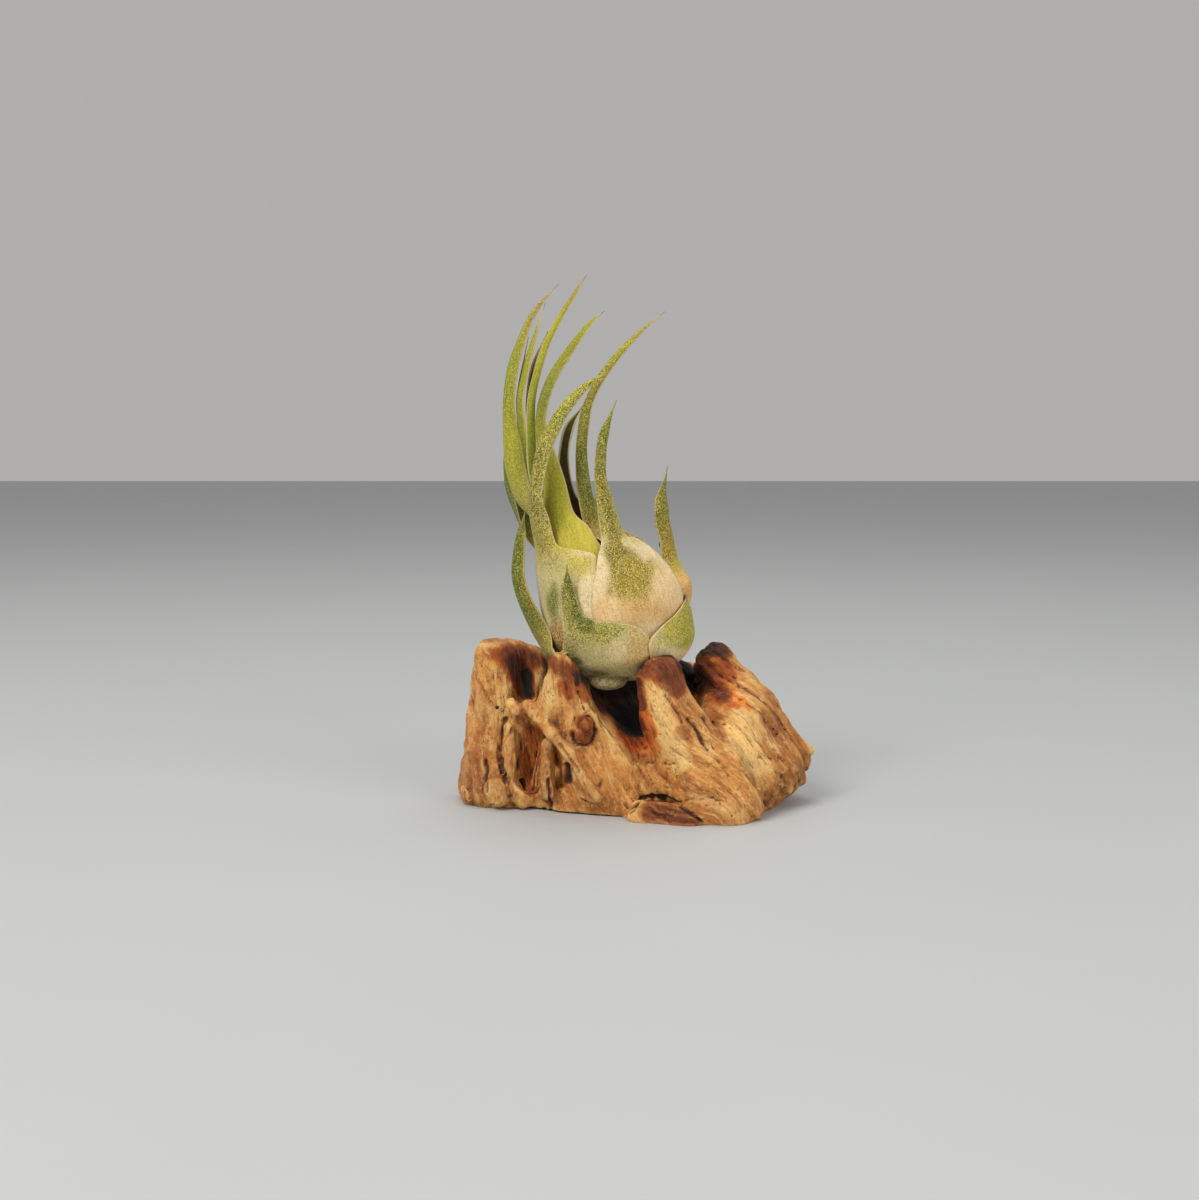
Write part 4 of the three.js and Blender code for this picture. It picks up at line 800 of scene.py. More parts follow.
def new_object(name, data):
    thing = bpy.data.objects.new(name, data)
    bpy.context.scene.collection.objects.link(thing)
    return thing


def mesh_of(name, points, faces):
    """A smooth-shaded mesh from millimetre points."""
    mesh = bpy.data.meshes.new(name)
    mesh.from_pydata((points * MM).tolist(), [], faces)
    mesh.shade_smooth()
    mesh.update()
    return mesh


def put_number(mesh, name, values):
    mesh.attributes.new(name, "FLOAT", "POINT").data.foreach_set("value", values.astype(np.float32))


def put_colour(mesh, name, colours):
    rgba = np.ones((len(colours), 4), np.float32)
    rgba[:, :3] = colours
    mesh.attributes.new(name, "FLOAT_COLOR", "POINT").data.foreach_set("color", rgba.ravel())


# ---- the bulb's axis

def draw_axis():
    middles = np.arange(AXIS_FROM + 0.5, AXIS_TO, 1.0)
    leans = np.radians(np.interp(middles, *np.transpose(AXIS_LEAN)))
    steps = np.stack([-np.sin(leans), 0 * leans, np.cos(leans)], axis=1)
    points = np.vstack([np.zeros(3), np.cumsum(steps, axis=0)])
    return points + BULB_BASE - points[int(-AXIS_FROM)]


AXIS_POINTS = draw_axis()


def axis_at(along):
    """The axis at a distance along it: the point, the way up it, and the way right of it."""
    t = min(max(along - AXIS_FROM, 0), len(AXIS_POINTS) - 1.001)
    i = int(t)
    point = AXIS_POINTS[i] + (AXIS_POINTS[i + 1] - AXIS_POINTS[i]) * (t - i)
    lean = math.radians(np.interp(along, *np.transpose(AXIS_LEAN)))
    up = np.array([-math.sin(lean), 0, math.cos(lean)])
    right = np.array([math.cos(lean), 0, math.sin(lean)])
    return point, up, right


def layer_radius(along, level):
    inset = LEVEL_STEP * level
    radius = np.interp(along - inset, *np.transpose(BULB_PROFILE)) - inset
    return max(radius, STEM_RADIUS + STEM_CLEARANCE)


# ---- lofting a leaf

def way_out(right, azimuth):
    angle = math.radians(azimuth)
    return BULB_FRONT * math.cos(angle) + right * math.sin(angle)


def sheath_section(leaf, row):
    along, left, right_reach = row[:3]
    puff = row[3] if len(row) > 3 else leaf["puff"]
    point, up, right = axis_at(along)
    out = way_out(right, leaf["azimuth"])
    radius = layer_radius(along, leaf["level"])
    middle = point + out * radius + way_out(right, leaf.get("pushed", leaf["azimuth"])) * puff
    return middle, out, np.cross(up, out), radius, left, right_reach, SHEATH_THICKNESS


def blade_section(middles, index, row):
    radius, roll, facing = row[3:]
    along = unit(middles[min(index + 1, len(middles) - 1)] - middles[max(index - 1, 0)])
    angle = math.radians(facing)
    out = np.array([math.sin(angle), -math.cos(angle), 0])
    out = unit(out - along * out.dot(along))
    thickness = min(BLADE_THICKNESS, FILL_SHARE * radius)
    return middles[index], out, np.cross(along, out), radius, roll, roll, thickness


def leaf_sections(leaf):
    sections = [sheath_section(leaf, row) for row in leaf.get("sheath", [])]
    middles = [s[0] for s in sections] + [np.array(row[:3], float) for row in leaf["blade"]]
    sheath_count = len(sections)
    for i, row in enumerate(leaf["blade"]):
        sections.append(blade_section(middles, sheath_count + i, row))
    return sections


def leaf_grid(leaf):
    """The leaf's back as a grid of points, with its thickness, roll radius and width."""
    rows = [np.array(column, float) for column in zip(*leaf_sections(leaf))]
    row_middle, row_out, row_side, row_radius, row_left, row_right, row_thickness = rows
    last = len(row_radius) - 1
    t = np.linspace(0, last, last * STEPS_PER_ROW + 1)
    middle = smooth_rows(row_middle, t)
    out = unit(smooth_rows(row_out, t))
    side = smooth_rows(row_side, t)
    side = unit(side - out * np.sum(side * out, axis=1, keepdims=True))
    radius = 1 / smooth_rows(1 / row_radius, t)
    left = smooth_rows(row_left * row_radius, t) / radius
    right = smooth_rows(row_right * row_radius, t) / radius
    taper = 1 - (1 - TIP_SHARE) * smoothstep(last - 1, last, t)
    radius = radius * taper
    thickness = smooth_rows(row_thickness, t) * np.maximum(taper, TIP_THICKNESS_SHARE)
    u = np.linspace(-1, 1, STEPS_ACROSS + 1)
    share = (u + 1) / 2
    angle = np.radians(-left[:, None] * (1 - share) + right[:, None] * share)[..., None]
    centre = middle - out * radius[:, None]
    turned = out[:, None, :] * np.cos(angle) + side[:, None, :] * np.sin(angle)
    points = centre[:, None, :] + radius[:, None, None] * turned
    return points, u, thickness, radius, np.radians(left + right) * radius


def grid_normals(points):
    up = np.gradient(points, axis=0)
    over = np.gradient(points, axis=1)
    return unit(np.cross(over, up))


def quads(rows, columns, start=0, turned=False):
    index = start + np.arange(rows * columns).reshape(rows, columns)
    a, b, c, d = index[:-1, :-1], index[:-1, 1:], index[1:, 1:], index[1:, :-1]
    order = (a, d, c, b) if turned else (a, b, c, d)
    return np.stack(order, axis=-1).reshape(-1, 4)


def pressed(points, cover):
    """The grid moved inwards wherever the covering leaf would cut through it."""
    normals = grid_normals(points)
    push = np.zeros(points.shape[:2])
    for j in range(points.shape[0]):
        for i in range(points.shape[1]):
            start = points[j, i] - normals[j, i] * PRESS_REACH
            hit = cover.ray_cast(Vector(start), Vector(normals[j, i]), 2 * PRESS_REACH)
            if hit[0] is not None:
                push[j, i] = min(0, hit[3] - PRESS_REACH - PRESS_CLEARANCE)
    soft = push.copy()
    for _ in range(PRESS_SOFTENING):
        padded = np.pad(soft, 1, mode="edge")
        soft = (padded[:-2, 1:-1] + padded[2:, 1:-1] + padded[1:-1, :-2] + padded[1:-1, 2:]) / 4
        soft = np.minimum(soft, push)
    return points + normals * soft[..., None]


def banded_tint(look, level, across):
    """The leaf's own colours: one up its middle and one up its sides, changing with height."""
    heights, middles, sides = zip(*look["tones"])
    strips = []
    for colours in (linear(middles), linear(sides)):
        parts = [np.interp(level, heights, colours[:, k]) for k in range(3)]
        strips.append(np.stack(parts, axis=-1))
    low, high = (look["band"] + step for step in BAND_FADE)
    weight = smoothstep(low, high, across)[..., None]
    return strips[0] * (1 - weight) + strips[1] * weight


def leaf_colours(leaf, points, u, widths, lengths):
    """Each point's tint, how much it is pale margin (its scales and a painted sheen) and dry tip,
    and how much scurf covers it.
    """
    look = LEAF_LOOKS[leaf["name"]]
    height = points[..., 2]
    flat = points.reshape(-1, 3)
    wander = noise(flat, WANDER_SIZE, 31).reshape(height.shape)
    fine = noise(flat, FINE_WANDER_SIZE, 37).reshape(height.shape)
    across = np.abs(u)[None, :] + BAND_WANDER[0] * wander + BAND_WANDER[1] * fine
    colour = banded_tint(look, height + TONE_WANDER * wander, across)
    bare = np.zeros(height.shape)
    for x, z, wide, tall, patch, strength in LEAF_PATCHES.get(leaf["name"], []):
        away = np.hypot((points[..., 0] - x) / wide, (height - z) / tall)
        near = smoothstep(*PATCH_FADE, away + PATCH_WANDER[1] * fine + PATCH_WANDER[0] * wander)
        near = (near * strength * (points[..., 1] < PATCH_DEPTH))[..., None]
        colour = colour * (1 - near) + linear(patch) * near
        if patch in BARE_TINTS:
            bare = np.maximum(bare, near[..., 0])
    from_edge = (1 - np.abs(u))[None, :] * widths[:, None] / 2
    rim = smoothstep(*RIM_FADE, from_edge) * look["rim"]
    rim *= smoothstep(0, RIM_START, lengths)[:, None]
    dry = smoothstep(*DRY_FADE, lengths[-1] - lengths)[:, None] * np.ones_like(height)
    pale = smoothstep(*PALE_BRIGHTNESS, colour @ BRIGHTNESS_SHARES)
    scurf = look["scurf"] * (1 - PALE_LOSS * pale) * (1 - BARE_LOSS * bare)
    return colour, rim, dry, scurf


def shell_faces(rows, columns):
    """The faces of a closed leaf: its back, its inner face, and the strip round its margin."""
    count = rows * columns
    index = np.arange(count).reshape(rows, columns)
    sides = [index[0, :-1], index[:-1, -1], index[-1, ::-1][:-1], index[::-1, 0][:-1]]
    ring = np.concatenate(sides)
    follow = np.roll(ring, -1)
    strip = np.stack([ring, ring + count, follow + count, follow], axis=-1)
    return np.vstack([quads(rows, columns), quads(rows, columns, count, True), strip]).tolist()


def on_both_faces(values, count):
    """A grid's values as one list, for the back and again for the inner face."""
    listed = values.reshape((count,) + values.shape[2:])
    return np.concatenate([listed, listed])


def leaf_piece(leaf, covers):
    """Builds one leaf; covers are the trees of the leaves that press on it."""
    points, u, thickness, radius, widths = leaf_grid(leaf)
    bulk = smoothstep(*LUMPY_RADII, radius)[:, None]
    lumps = waves(points.reshape(-1, 3), 1, LUMP_SIZE, 5, 2).reshape(points.shape[:2])
    points = points + grid_normals(points) * (LUMP_HEIGHT * bulk * (lumps - LUMP_SINK))[..., None]
    for cover in covers:
        points = pressed(points, cover)
    share = 1 - (1 - MARGIN_SHARE) * np.abs(u) ** MARGIN_POWER
    inner = points - grid_normals(points) * (thickness[:, None] * share[None, :])[..., None]
    rows, columns = points.shape[:2]
    count = rows * columns
    both = np.vstack([points.reshape(-1, 3), inner.reshape(-1, 3)]) + CENTRE_SHIFT
    mesh = mesh_of(leaf["name"] + "_form", both, shell_faces(rows, columns))
    steps = np.linalg.norm(np.diff(points[:, columns // 2], axis=0), axis=1)
    lengths = np.concatenate([[0], np.cumsum(steps)])
    colour, rim, dry, scurf = leaf_colours(leaf, points, u, widths, lengths)
    put_colour(mesh, "tint", on_both_faces(colour, count))
    run = np.broadcast_to(lengths[:, None], (rows, columns))
    numbers = dict(rim=rim, dry=dry, scurf=scurf, run=run, cross=u[None, :] * widths[:, None] / 2)
    for name, values in numbers.items():
        put_number(mesh, name, on_both_faces(values, count))
    return new_object(leaf["name"] + "_form", mesh), inner


def stem_foot(turns):
    """Rings of the swollen foot, from its lowest point up."""
    rings = []
    for climb in np.linspace(-math.pi / 2, math.pi / 2, STEM_FOOT_RINGS):
        x, y = np.cos(turns) * math.cos(climb), np.sin(turns) * math.cos(climb)
        ring = np.stack([x, y, np.full(len(turns), math.sin(climb))], axis=-1)
        rings.append(STEM_FOOT + STEM_FOOT_RADII * ring)
    foot = np.array(rings)
    lumps = noise(foot.reshape(-1, 3), STEM_FOOT_LUMP_SIZE, 61).reshape(foot.shape[:2])
    return foot + STEM_FOOT_LUMPS * lumps[..., None]


def stem_shaft(turns):
    """Rings up the middle of the bulb."""
    rings = []
    for along in np.linspace(STEM_FROM, STEM_TO, STEM_RINGS):
        point, _, right = axis_at(along)
        from_end = min(along - STEM_FROM, STEM_TO - along)
        radius = STEM_END_RADIUS + STEM_SWELL * smoothstep(*STEM_ENDS, from_end)
        ring = np.cos(turns)[:, None] * right + np.sin(turns)[:, None] * BULB_FRONT
        rings.append(point + radius * ring)
    return np.array(rings)


def stem_piece():
    """The stem up the middle of the bulb, and its pale swollen foot."""
    turns = np.linspace(0, 2 * math.pi, STEM_SIDES + 1)[:-1]
    grids = [stem_foot(turns), stem_shaft(turns)]
    faces = []
    start = 0
    for grid in grids:
        count = grid.shape[0] * STEM_SIDES
        index = start + np.arange(count).reshape(-1, STEM_SIDES)
        follow = np.roll(index, -1, axis=1)
        quads = np.stack([index[:-1], follow[:-1], follow[1:], index[1:]], axis=-1)
        faces += quads.reshape(-1, 4).tolist()
        faces += [index[0, ::-1].tolist(), index[-1].tolist()]
        start += count
    points = np.vstack([grid.reshape(-1, 3) for grid in grids]) + CENTRE_SHIFT
    mesh = mesh_of("stem_form", points, faces)
    mesh.materials.append(stem_material())
    return new_object("stem_form", mesh)


def tree_of(inner):
    rows, columns = inner.shape[:2]
    points = inner.reshape(-1, 3)
    return BVHTree.FromPolygons(points.tolist(), quads(rows, columns).tolist())


# ---- materials

class Nodes:
    """Short ways to add nodes to one material."""

    def __init__(self, name):
        self.material = bpy.data.materials.new(name)
        self.material.use_nodes = True
        self.tree = self.material.node_tree
        self.shader = self.tree.nodes["Principled BSDF"]

    def add(self, kind, **values):
        node = self.tree.nodes.new(kind)
        for key, value in values.items():
            setattr(node, key, value)
        return node

    def link(self, source, target):
        self.tree.links.new(source, target)

    def feed(self, node, **inputs):
        """Gives a node's inputs, by name, a number, a 0 to 255 colour or another node's output."""
        for name, value in inputs.items():
            self.set_input(node.inputs[name.replace("_", " ")], value)

    def set_input(self, socket, value):
        if isinstance(value, (int, float)):
            socket.default_value = value
        elif isinstance(value, tuple):
            socket.default_value = (*linear(value), 1)
        else:
            self.link(value, socket)

    def object_place(self):
        return self.add("ShaderNodeTexCoord").outputs["Object"]

    def attribute(self, name, output="Fac"):
        return self.add("ShaderNodeAttribute", attribute_name=name).outputs[output]

    def number(self, operation, *values):
        node = self.add("ShaderNodeMath", operation=operation)
        for socket, value in zip(node.inputs, values):
            self.set_input(socket, value)
        return node.outputs[0]

    def ranged(self, value, low, high, to_low=0.0, to_high=1.0):
        """The value eased from to_low at low to to_high at high."""
        node = self.add("ShaderNodeMapRange", interpolation_type="SMOOTHSTEP")
        self.feed(node, Value=value, From_Min=low, From_Max=high, To_Min=to_low, To_Max=to_high)
        return node.outputs["Result"]

    def speckle(self, vector, scale, detail=2.0, roughness=0.5):
        node = self.add("ShaderNodeTexNoise")
        self.feed(node, Vector=vector, Scale=scale, Detail=detail, Roughness=roughness)
        return node.outputs["Fac"]

    def grains(self, vector, scale):
        """One random number for each small cell."""
        node = self.add("ShaderNodeTexVoronoi")
        self.feed(node, Vector=vector, Scale=scale)
        return node.outputs["Color"]

    def mix(self, factor, first, second, blend="MIX"):
        node = self.add("ShaderNodeMix", data_type="RGBA", blend_type=blend)
        factor_input, first_input, second_input = (node.inputs[i] for i in MIX_COLOUR_INPUTS)
        self.set_input(factor_input, factor)
        self.set_input(first_input, first)
        self.set_input(second_input, second)
        return node.outputs[MIX_COLOUR_OUTPUT]

    def vector(self, x, y, z):
        node = self.add("ShaderNodeCombineXYZ")
        self.feed(node, X=x, Y=y, Z=z)
        return node.outputs[0]

    def bump(self, height, distance, strength=1.0, below=None):
        node = self.add("ShaderNodeBump")
        self.feed(node, Height=height, Distance=distance, Strength=strength)
        if below is not None:
            self.link(below, node.inputs["Normal"])
        return node.outputs["Normal"]

    def finish(self, colour, roughness, normal, **values):
        """Wires up the shader and hands back the material."""
        self.set_input(self.shader.inputs["Base Color"], colour)
        self.set_input(self.shader.inputs["Roughness"], roughness)
        if normal is not None:
            self.link(normal, self.shader.inputs["Normal"])
        self.feed(self.shader, **values)
        return self.material


def leaf_material(name):
    """Leaf skin: its own tint under a coat of fine pale scales, with long veins."""
    nodes = Nodes("skin_" + name)
    place = nodes.object_place()
    tint = nodes.attribute("tint", "Color")
    scales = nodes.grains(place, LEAF_GRAIN_SCALE)
    clumps = nodes.speckle(place, LEAF_CLUMP_SCALE, 2.0, 0.6)
    cross = nodes.number("MULTIPLY", nodes.attribute("cross"), VEINS_ACROSS)
    run = nodes.number("MULTIPLY", nodes.attribute("run"), VEINS_ALONG)
    streaks = nodes.speckle(nodes.vector(cross, run, 0.0), 1.0, 2.0)
    strength = nodes.number("MULTIPLY", nodes.ranged(clumps, *CLUMP_RAMP), nodes.attribute("scurf"))
    under = nodes.mix(nodes.ranged(scales, *UNDER_RAMP), tint, LEAF_UNDER, "MULTIPLY")
    colour = nodes.mix(strength, tint, under)
    colour = nodes.mix(nodes.ranged(streaks, *VEIN_RAMP), colour, LEAF_UNDER, "MULTIPLY")
    fleck = nodes.number("MULTIPLY", nodes.ranged(scales, *FLECK_RAMP), strength)
    colour = nodes.mix(fleck, colour, LEAF_SCALE)
    # The pale margin: the scales' own pallor with a painted sheen.
    colour = nodes.mix(nodes.attribute("rim"), colour, PALE_RIM_AND_SHEEN)
    colour = nodes.mix(nodes.attribute("dry"), colour, TIP)
    veins = nodes.bump(streaks, *VEIN_RELIEF)
    return nodes.finish(
        colour, nodes.ranged(scales, *LEAF_ROUGHNESS), nodes.bump(scales, *SCALE_RELIEF, veins),
        Specular_IOR_Level=0.25, Sheen_Weight=0.08, Sheen_Roughness=0.5)


def wood_patterns(nodes):
    """Streaks drawn out along the grain, patches and grit, and what the mesh knows of itself."""
    across, run, depth = (nodes.attribute(name) for name in ("grain", "run", "deep"))
    patterns = {name: nodes.attribute(name) for name in ("burn_and_shade", "glow", "dent_shade", "wear_and_shade", "tone_and_light")}
    for name, fine, long, detail, roughness in GRAIN_PATTERNS:
        drawn_out = nodes.vector(
            nodes.number("MULTIPLY", across, fine), nodes.number("MULTIPLY", run, long),
            nodes.number("MULTIPLY", depth, fine * 0.5))
        patterns[name] = nodes.speckle(drawn_out, 1.0, detail, roughness)
    place = nodes.object_place()
    patterns["patches"] = nodes.speckle(place, PATCH_SCALE, 4.0, 0.65)
    patterns["grit"] = nodes.speckle(place, GRIT_SCALE, 3.0, 0.7)
    off_crack = nodes.number("ABSOLUTE", nodes.number("SUBTRACT", patterns["crack"], 0.5))
    crack = nodes.ranged(off_crack, CRACK_WIDTH, 0.0)
    unbroken = nodes.ranged(patterns["breaks"], *BREAK_RAMP)
    patterns["thin crack"] = nodes.number("MULTIPLY", crack, unbroken)
    patterns["closed"] = nodes.number("SUBTRACT", 1.0, patterns["thin crack"])
    return patterns


def burnt_and_shaded_colour(nodes, patterns, colour):
    """The wood's colour where it is scorched, glowing red or charred; the char black also paints
    shade in the darkest hollows and holes.
    """
    edge = nodes.number("ADD", patterns["burn_and_shade"], nodes.ranged(patterns["streak"], *STREAKY_EDGE))
    edge = nodes.number("ADD", edge, nodes.ranged(patterns["fibre"], *FIBROUS_EDGE))
    scorched = nodes.mix(nodes.ranged(edge, *SCORCHED_AT), colour, UMBER, "MULTIPLY")
    scorched = nodes.mix(nodes.ranged(edge, *SOOTY_AT), scorched, SOOT)
    glowing = nodes.mix(nodes.ranged(edge, *GLOWING_AT), colour, EMBER, "MULTIPLY")
    glowing = nodes.mix(nodes.ranged(edge, *RUSTY_AT), glowing, RUST)
    burnt = nodes.mix(patterns["glow"], scorched, glowing)
    return nodes.mix(nodes.ranged(edge, *CHARRED_AT), burnt, CHAR_AND_SHADE)


def wood_material():
    """Driftwood: streaks along the grain, from straw to umber, burnt to ember, rust and char, with
    painted shade in its hollows and cracks and painted light on its lit faces.
    """
    nodes = Nodes("driftwood_grain")
    patterns = wood_patterns(nodes)
    colour = nodes.mix(nodes.ranged(patterns["broad"], *BROAD_RAMP), OCHRE, HONEY)
    for name, low, high, strength, tint, *blend in WOOD_LAYERS:
        share = nodes.ranged(patterns[name], low, high, 0.0, strength)
        colour = nodes.mix(share, colour, tint, *blend)
    cracked = nodes.number("MULTIPLY", patterns["thin crack"], CRACK_STRENGTH)
    # Painted shade in the thin cracks and in the dents, holes and furrows.
    colour = nodes.mix(patterns["dent_shade"], nodes.mix(cracked, colour, CRACK_SHADE), DENT_SHADE)
    rough = nodes.ranged(patterns["fibre"], *WOOD_ROUGHNESS)
    rough = nodes.number("ADD", rough, nodes.ranged(patterns["burn_and_shade"], *BURNT_ROUGHNESS))
    normal = None
    for name, distance, strength in WOOD_RELIEF:
        normal = nodes.bump(patterns[name], distance, strength, normal)
    colour = burnt_and_shaded_colour(nodes, patterns, colour)
    return nodes.finish(colour, rough, normal, Specular_IOR_Level=0.4)


def stem_material():
    nodes = Nodes("stem_bark")
    flakes = nodes.speckle(nodes.object_place(), 700.0, 3.0, 0.6)
    colour = nodes.mix(nodes.ranged(flakes, 0.35, 0.65), SAGE, CREAM)
    return nodes.finish(colour, 0.8, nodes.bump(flakes, 0.0004, 0.8))


def floor_material():
    nodes = Nodes("pale_floor")
    mottle = nodes.speckle(nodes.object_place(), 6.0, 2.0, 0.5)
    return nodes.finish(nodes.mix(mottle, FLOOR_SHADE, FLOOR_COLOUR), 0.6, None)


# ---- the wood's skin

class Field:
    """Signed distances, roughly, on a grid of points round the wood."""

    def __init__(self):
        self.axes = [np.arange(low, high, SKIN_CELL) for low, high in zip(SKIN_MIN, SKIN_MAX)]
        self.values = np.full([len(a) for a in self.axes], FAR_OUTSIDE)

    def block(self, limb, margin):
        """The part of the grid near a limb."""
        start, end, radius_start, radius_end, depth = limb
        reach = max(radius_start, radius_end) * max(depth, 1) + margin
        spans = []
        for axis in range(3):
            low = min(start[axis], end[axis]) - reach
            high = max(start[axis], end[axis]) + reach
            spans.append(slice(*np.searchsorted(self.axes[axis], (low, high))))
        return tuple(spans)

    def grid(self, spans):
        x, y, z = (axis[span] for axis, span in zip(self.axes, spans))
        return x[:, None, None], y[None, :, None], z[None, None, :]

    def add(self, limb, blend):
        spans = self.block(limb, JOIN_REACH)
        here = limb_distance(limb, *self.grid(spans))
        self.values[spans] = soft_min(self.values[spans], here, blend)

    def cut(self, limb, blend):
        spans = self.block(limb, CUT_REACH)
        here = limb_distance(limb, *self.grid(spans))
        self.values[spans] = -soft_min(-self.values[spans], here, blend)

    def near(self, band):
        """Which grid points lie near the surface, and where they are."""
        where = np.nonzero(np.abs(self.values) < band)
        return where, np.stack([axis[i] for axis, i in zip(self.axes, where)], axis=1)


def limb_distance(limb, x, y, z):
    start, end, radius_start, radius_end, depth = limb
    px, py, pz = x - start[0], (y - start[1]) / depth, z - start[2]
    bx, by, bz = end[0] - start[0], (end[1] - start[1]) / depth, end[2] - start[2]
    f = np.clip((px * bx + py * by + pz * bz) / (bx * bx + by * by + bz * bz), 0, 1)
    gap = np.sqrt((px - f * bx) ** 2 + (py - f * by) ** 2 + (pz - f * bz) ** 2)
    return gap - (radius_start + (radius_end - radius_start) * f)


def soft_min(a, b, blend):
    h = np.maximum(blend - np.abs(a - b), 0) / blend
    return np.minimum(a, b) - h * h * blend / 4


def bulb_distance(points):
    """Signed distance, roughly, to the bulb as a whole."""
    spots = np.arange(AXIS_FROM, AXIS_FROM + len(AXIS_POINTS))
    lean = np.transpose(AXIS_LEAN)
    along = points[:, 2] - BULB_BASE[2]
    for _ in range(BULB_ROUNDS):
        centre = np.stack([np.interp(along, spots, AXIS_POINTS[:, i]) for i in range(3)], axis=1)
        angle = np.radians(np.interp(along, *lean))
        away = points - centre
        along = along - away[:, 0] * np.sin(angle) + away[:, 2] * np.cos(angle)
    radius = np.interp(along, *np.transpose(BULB_PROFILE))
    outside = np.linalg.norm(away, axis=1) - radius - LEVEL_STEP
    return np.maximum(outside, BULB_PROFILE[0][0] - along) * BULB_STEEPNESS


def grain_frame(points):
    """Across the grain, along it, and into the wood."""
    x, y, z = points.T
    turn = np.interp(x, *np.transpose(GRAIN_TURN)) + GRAIN_SWAY * noise(points, GRAIN_SWAY_SIZE, 71)
    z = z - GRAIN_PIVOT
    across = x * np.cos(turn) + z * np.sin(turn) + GRAIN_DEPTH_LEAN[0] * y
    run = -x * np.sin(turn) + z * np.cos(turn) + GRAIN_DEPTH_LEAN[1] * y
    across = across + GRAIN_WAVE * noise(points, GRAIN_WAVE_SIZE, 73)
    return np.stack([across, run, y + GRAIN_SIDE_LEAN * x], axis=1)


def front_view(points):
    """Where the camera's line of sight to each point meets the plane through the middle."""
    share = -CAMERA_AT[1] / (points[:, 1] - CAMERA_AT[1])
    return [CAMERA_AT[i] + (points[:, i] - CAMERA_AT[i]) * share for i in (0, 2)]


def stroke_share(x, z, stroke):
    """Distance to a stroke's line as a share of its half width there."""
    x0, z0, x1, z1, width_start, width_end = stroke
    way_x, way_z = x1 - x0, z1 - z0
    f = np.clip(((x - x0) * way_x + (z - z0) * way_z) / max(way_x ** 2 + way_z ** 2, 1e-6), 0, 1)
    off_line = np.hypot(x - x0 - f * way_x, z - z0 - f * way_z)
    return off_line / (width_start + (width_end - width_start) * f)


def grooves(points, size, seed, narrowness, depth):
    """How deep narrow winding grooves are, nothing beside them."""
    return depth * np.maximum(0, 1 - narrowness * np.abs(noise(points, size, seed))) ** 2


def wood_waves(points):
    """How far grain, furrows and rough patches raise the surface."""
    cloth = grain_frame(points)
    raised = waves(cloth, *GRAIN_WAVES)
    raised -= grooves(cloth, *RIDGE_GROOVES)
    raised -= grooves(cloth, *FURROWS)
    raised += waves(points, *SMALL_WAVES)
    raised += smoothstep(*RAGGED_END, points[:, 0]) * waves(points, *RAGGED_WAVES)
    raised += smoothstep(*CHEWED_END, points[:, 0]) * waves(points, *CHEWED_WAVES)
    return raised - WOOD_SHRINK


def wood_field():
    field = Field()
    for limb in WOOD_LIMBS:
        field.add(limb, WOOD_BLEND)
    where, points = field.near(SKIN_BAND)
    field.values[where] -= wood_waves(points)
    for hollow in WOOD_HOLLOWS:
        field.cut(hollow, CUT_BLEND)
    for knob in WOOD_KNOBS:
        field.add(knob, KNOB_BLEND)
    for cut in WOOD_CUTS:
        field.cut(cut, FINE_BLEND)
    for fill in WOOD_FILLS:
        field.add(fill, FINE_BLEND)
    where, points = field.near(2 * SKIN_BAND)
    seat = SEAT_CLEARANCE - bulb_distance(points)
    top = points[:, 2] - WOOD_TOP + waves(points, *TOP_WAVES)
    values = -soft_min(-field.values[where], -seat, CUT_BLEND)
    values = -soft_min(-values, -top, FINE_BLEND)
    reach = np.hypot(points[:, 0] / UNDERSIDE_REACH[0], points[:, 1] / UNDERSIDE_REACH[1])
    under = UNDERSIDE_RISE * np.maximum(1 - reach * reach, 0) - points[:, 2]
    field.values[where] = np.maximum(values, under)
    field.values[:, :, field.axes[2] < FOOT_HEIGHT] = 1
    return field


def surface_of(field):
    """The surface where the field is zero: one point in each cell that it crosses."""
    values = field.values
    shape = np.array(values.shape) - 1
    total = np.zeros((*shape, 3))
    hits = np.zeros(shape)
    crossings = []
    for axis in range(3):
        low = np.moveaxis(values, axis, 0)[:-1]
        high = np.moveaxis(values, axis, 0)[1:]
        crossed = (low < 0) != (high < 0)
        share = np.where(crossed, low / np.where(crossed, low - high, 1), 0)
        crossings.append((crossed, low < 0))
        a, b = sorted({0, 1, 2} - {axis})
        for step_a in (0, 1):
            for step_b in (0, 1):
                along_a = slice(step_a, shape[a] + step_a)
                along_b = slice(step_b, shape[b] + step_b)
                window = (slice(None), along_a, along_b)
                cells = np.moveaxis(crossed[window], 0, axis)
                hits += cells
                total[..., axis] += np.moveaxis(share[window], 0, axis)
                total[..., a] += step_a * cells
                total[..., b] += step_b * cells
    cells = np.nonzero(hits)
    label = np.full(shape, -1)
    label[cells] = np.arange(len(cells[0]))
    points = (np.stack(cells, axis=1) + total[cells] / hits[cells][:, None]) * SKIN_CELL + SKIN_MIN
    faces = []
    for axis, (crossed, inside) in enumerate(crossings):
        a, b = sorted({0, 1, 2} - {axis})
        inner = crossed[:, 1:-1, 1:-1]
        i, j, k = np.nonzero(inner)
        corners = []
        for step_a, step_b in ((0, 0), (1, 0), (1, 1), (0, 1)):
            cell = [None] * 3
            cell[axis], cell[a], cell[b] = i, j + step_a, k + step_b
            corners.append(label[tuple(cell)])
        quad = np.stack(corners, axis=1)
        outward = inside[:, 1:-1, 1:-1][i, j, k] != (axis == 1)
        faces.append(np.where(outward[:, None], quad, quad[:, ::-1]))
    return points, np.vstack(faces)


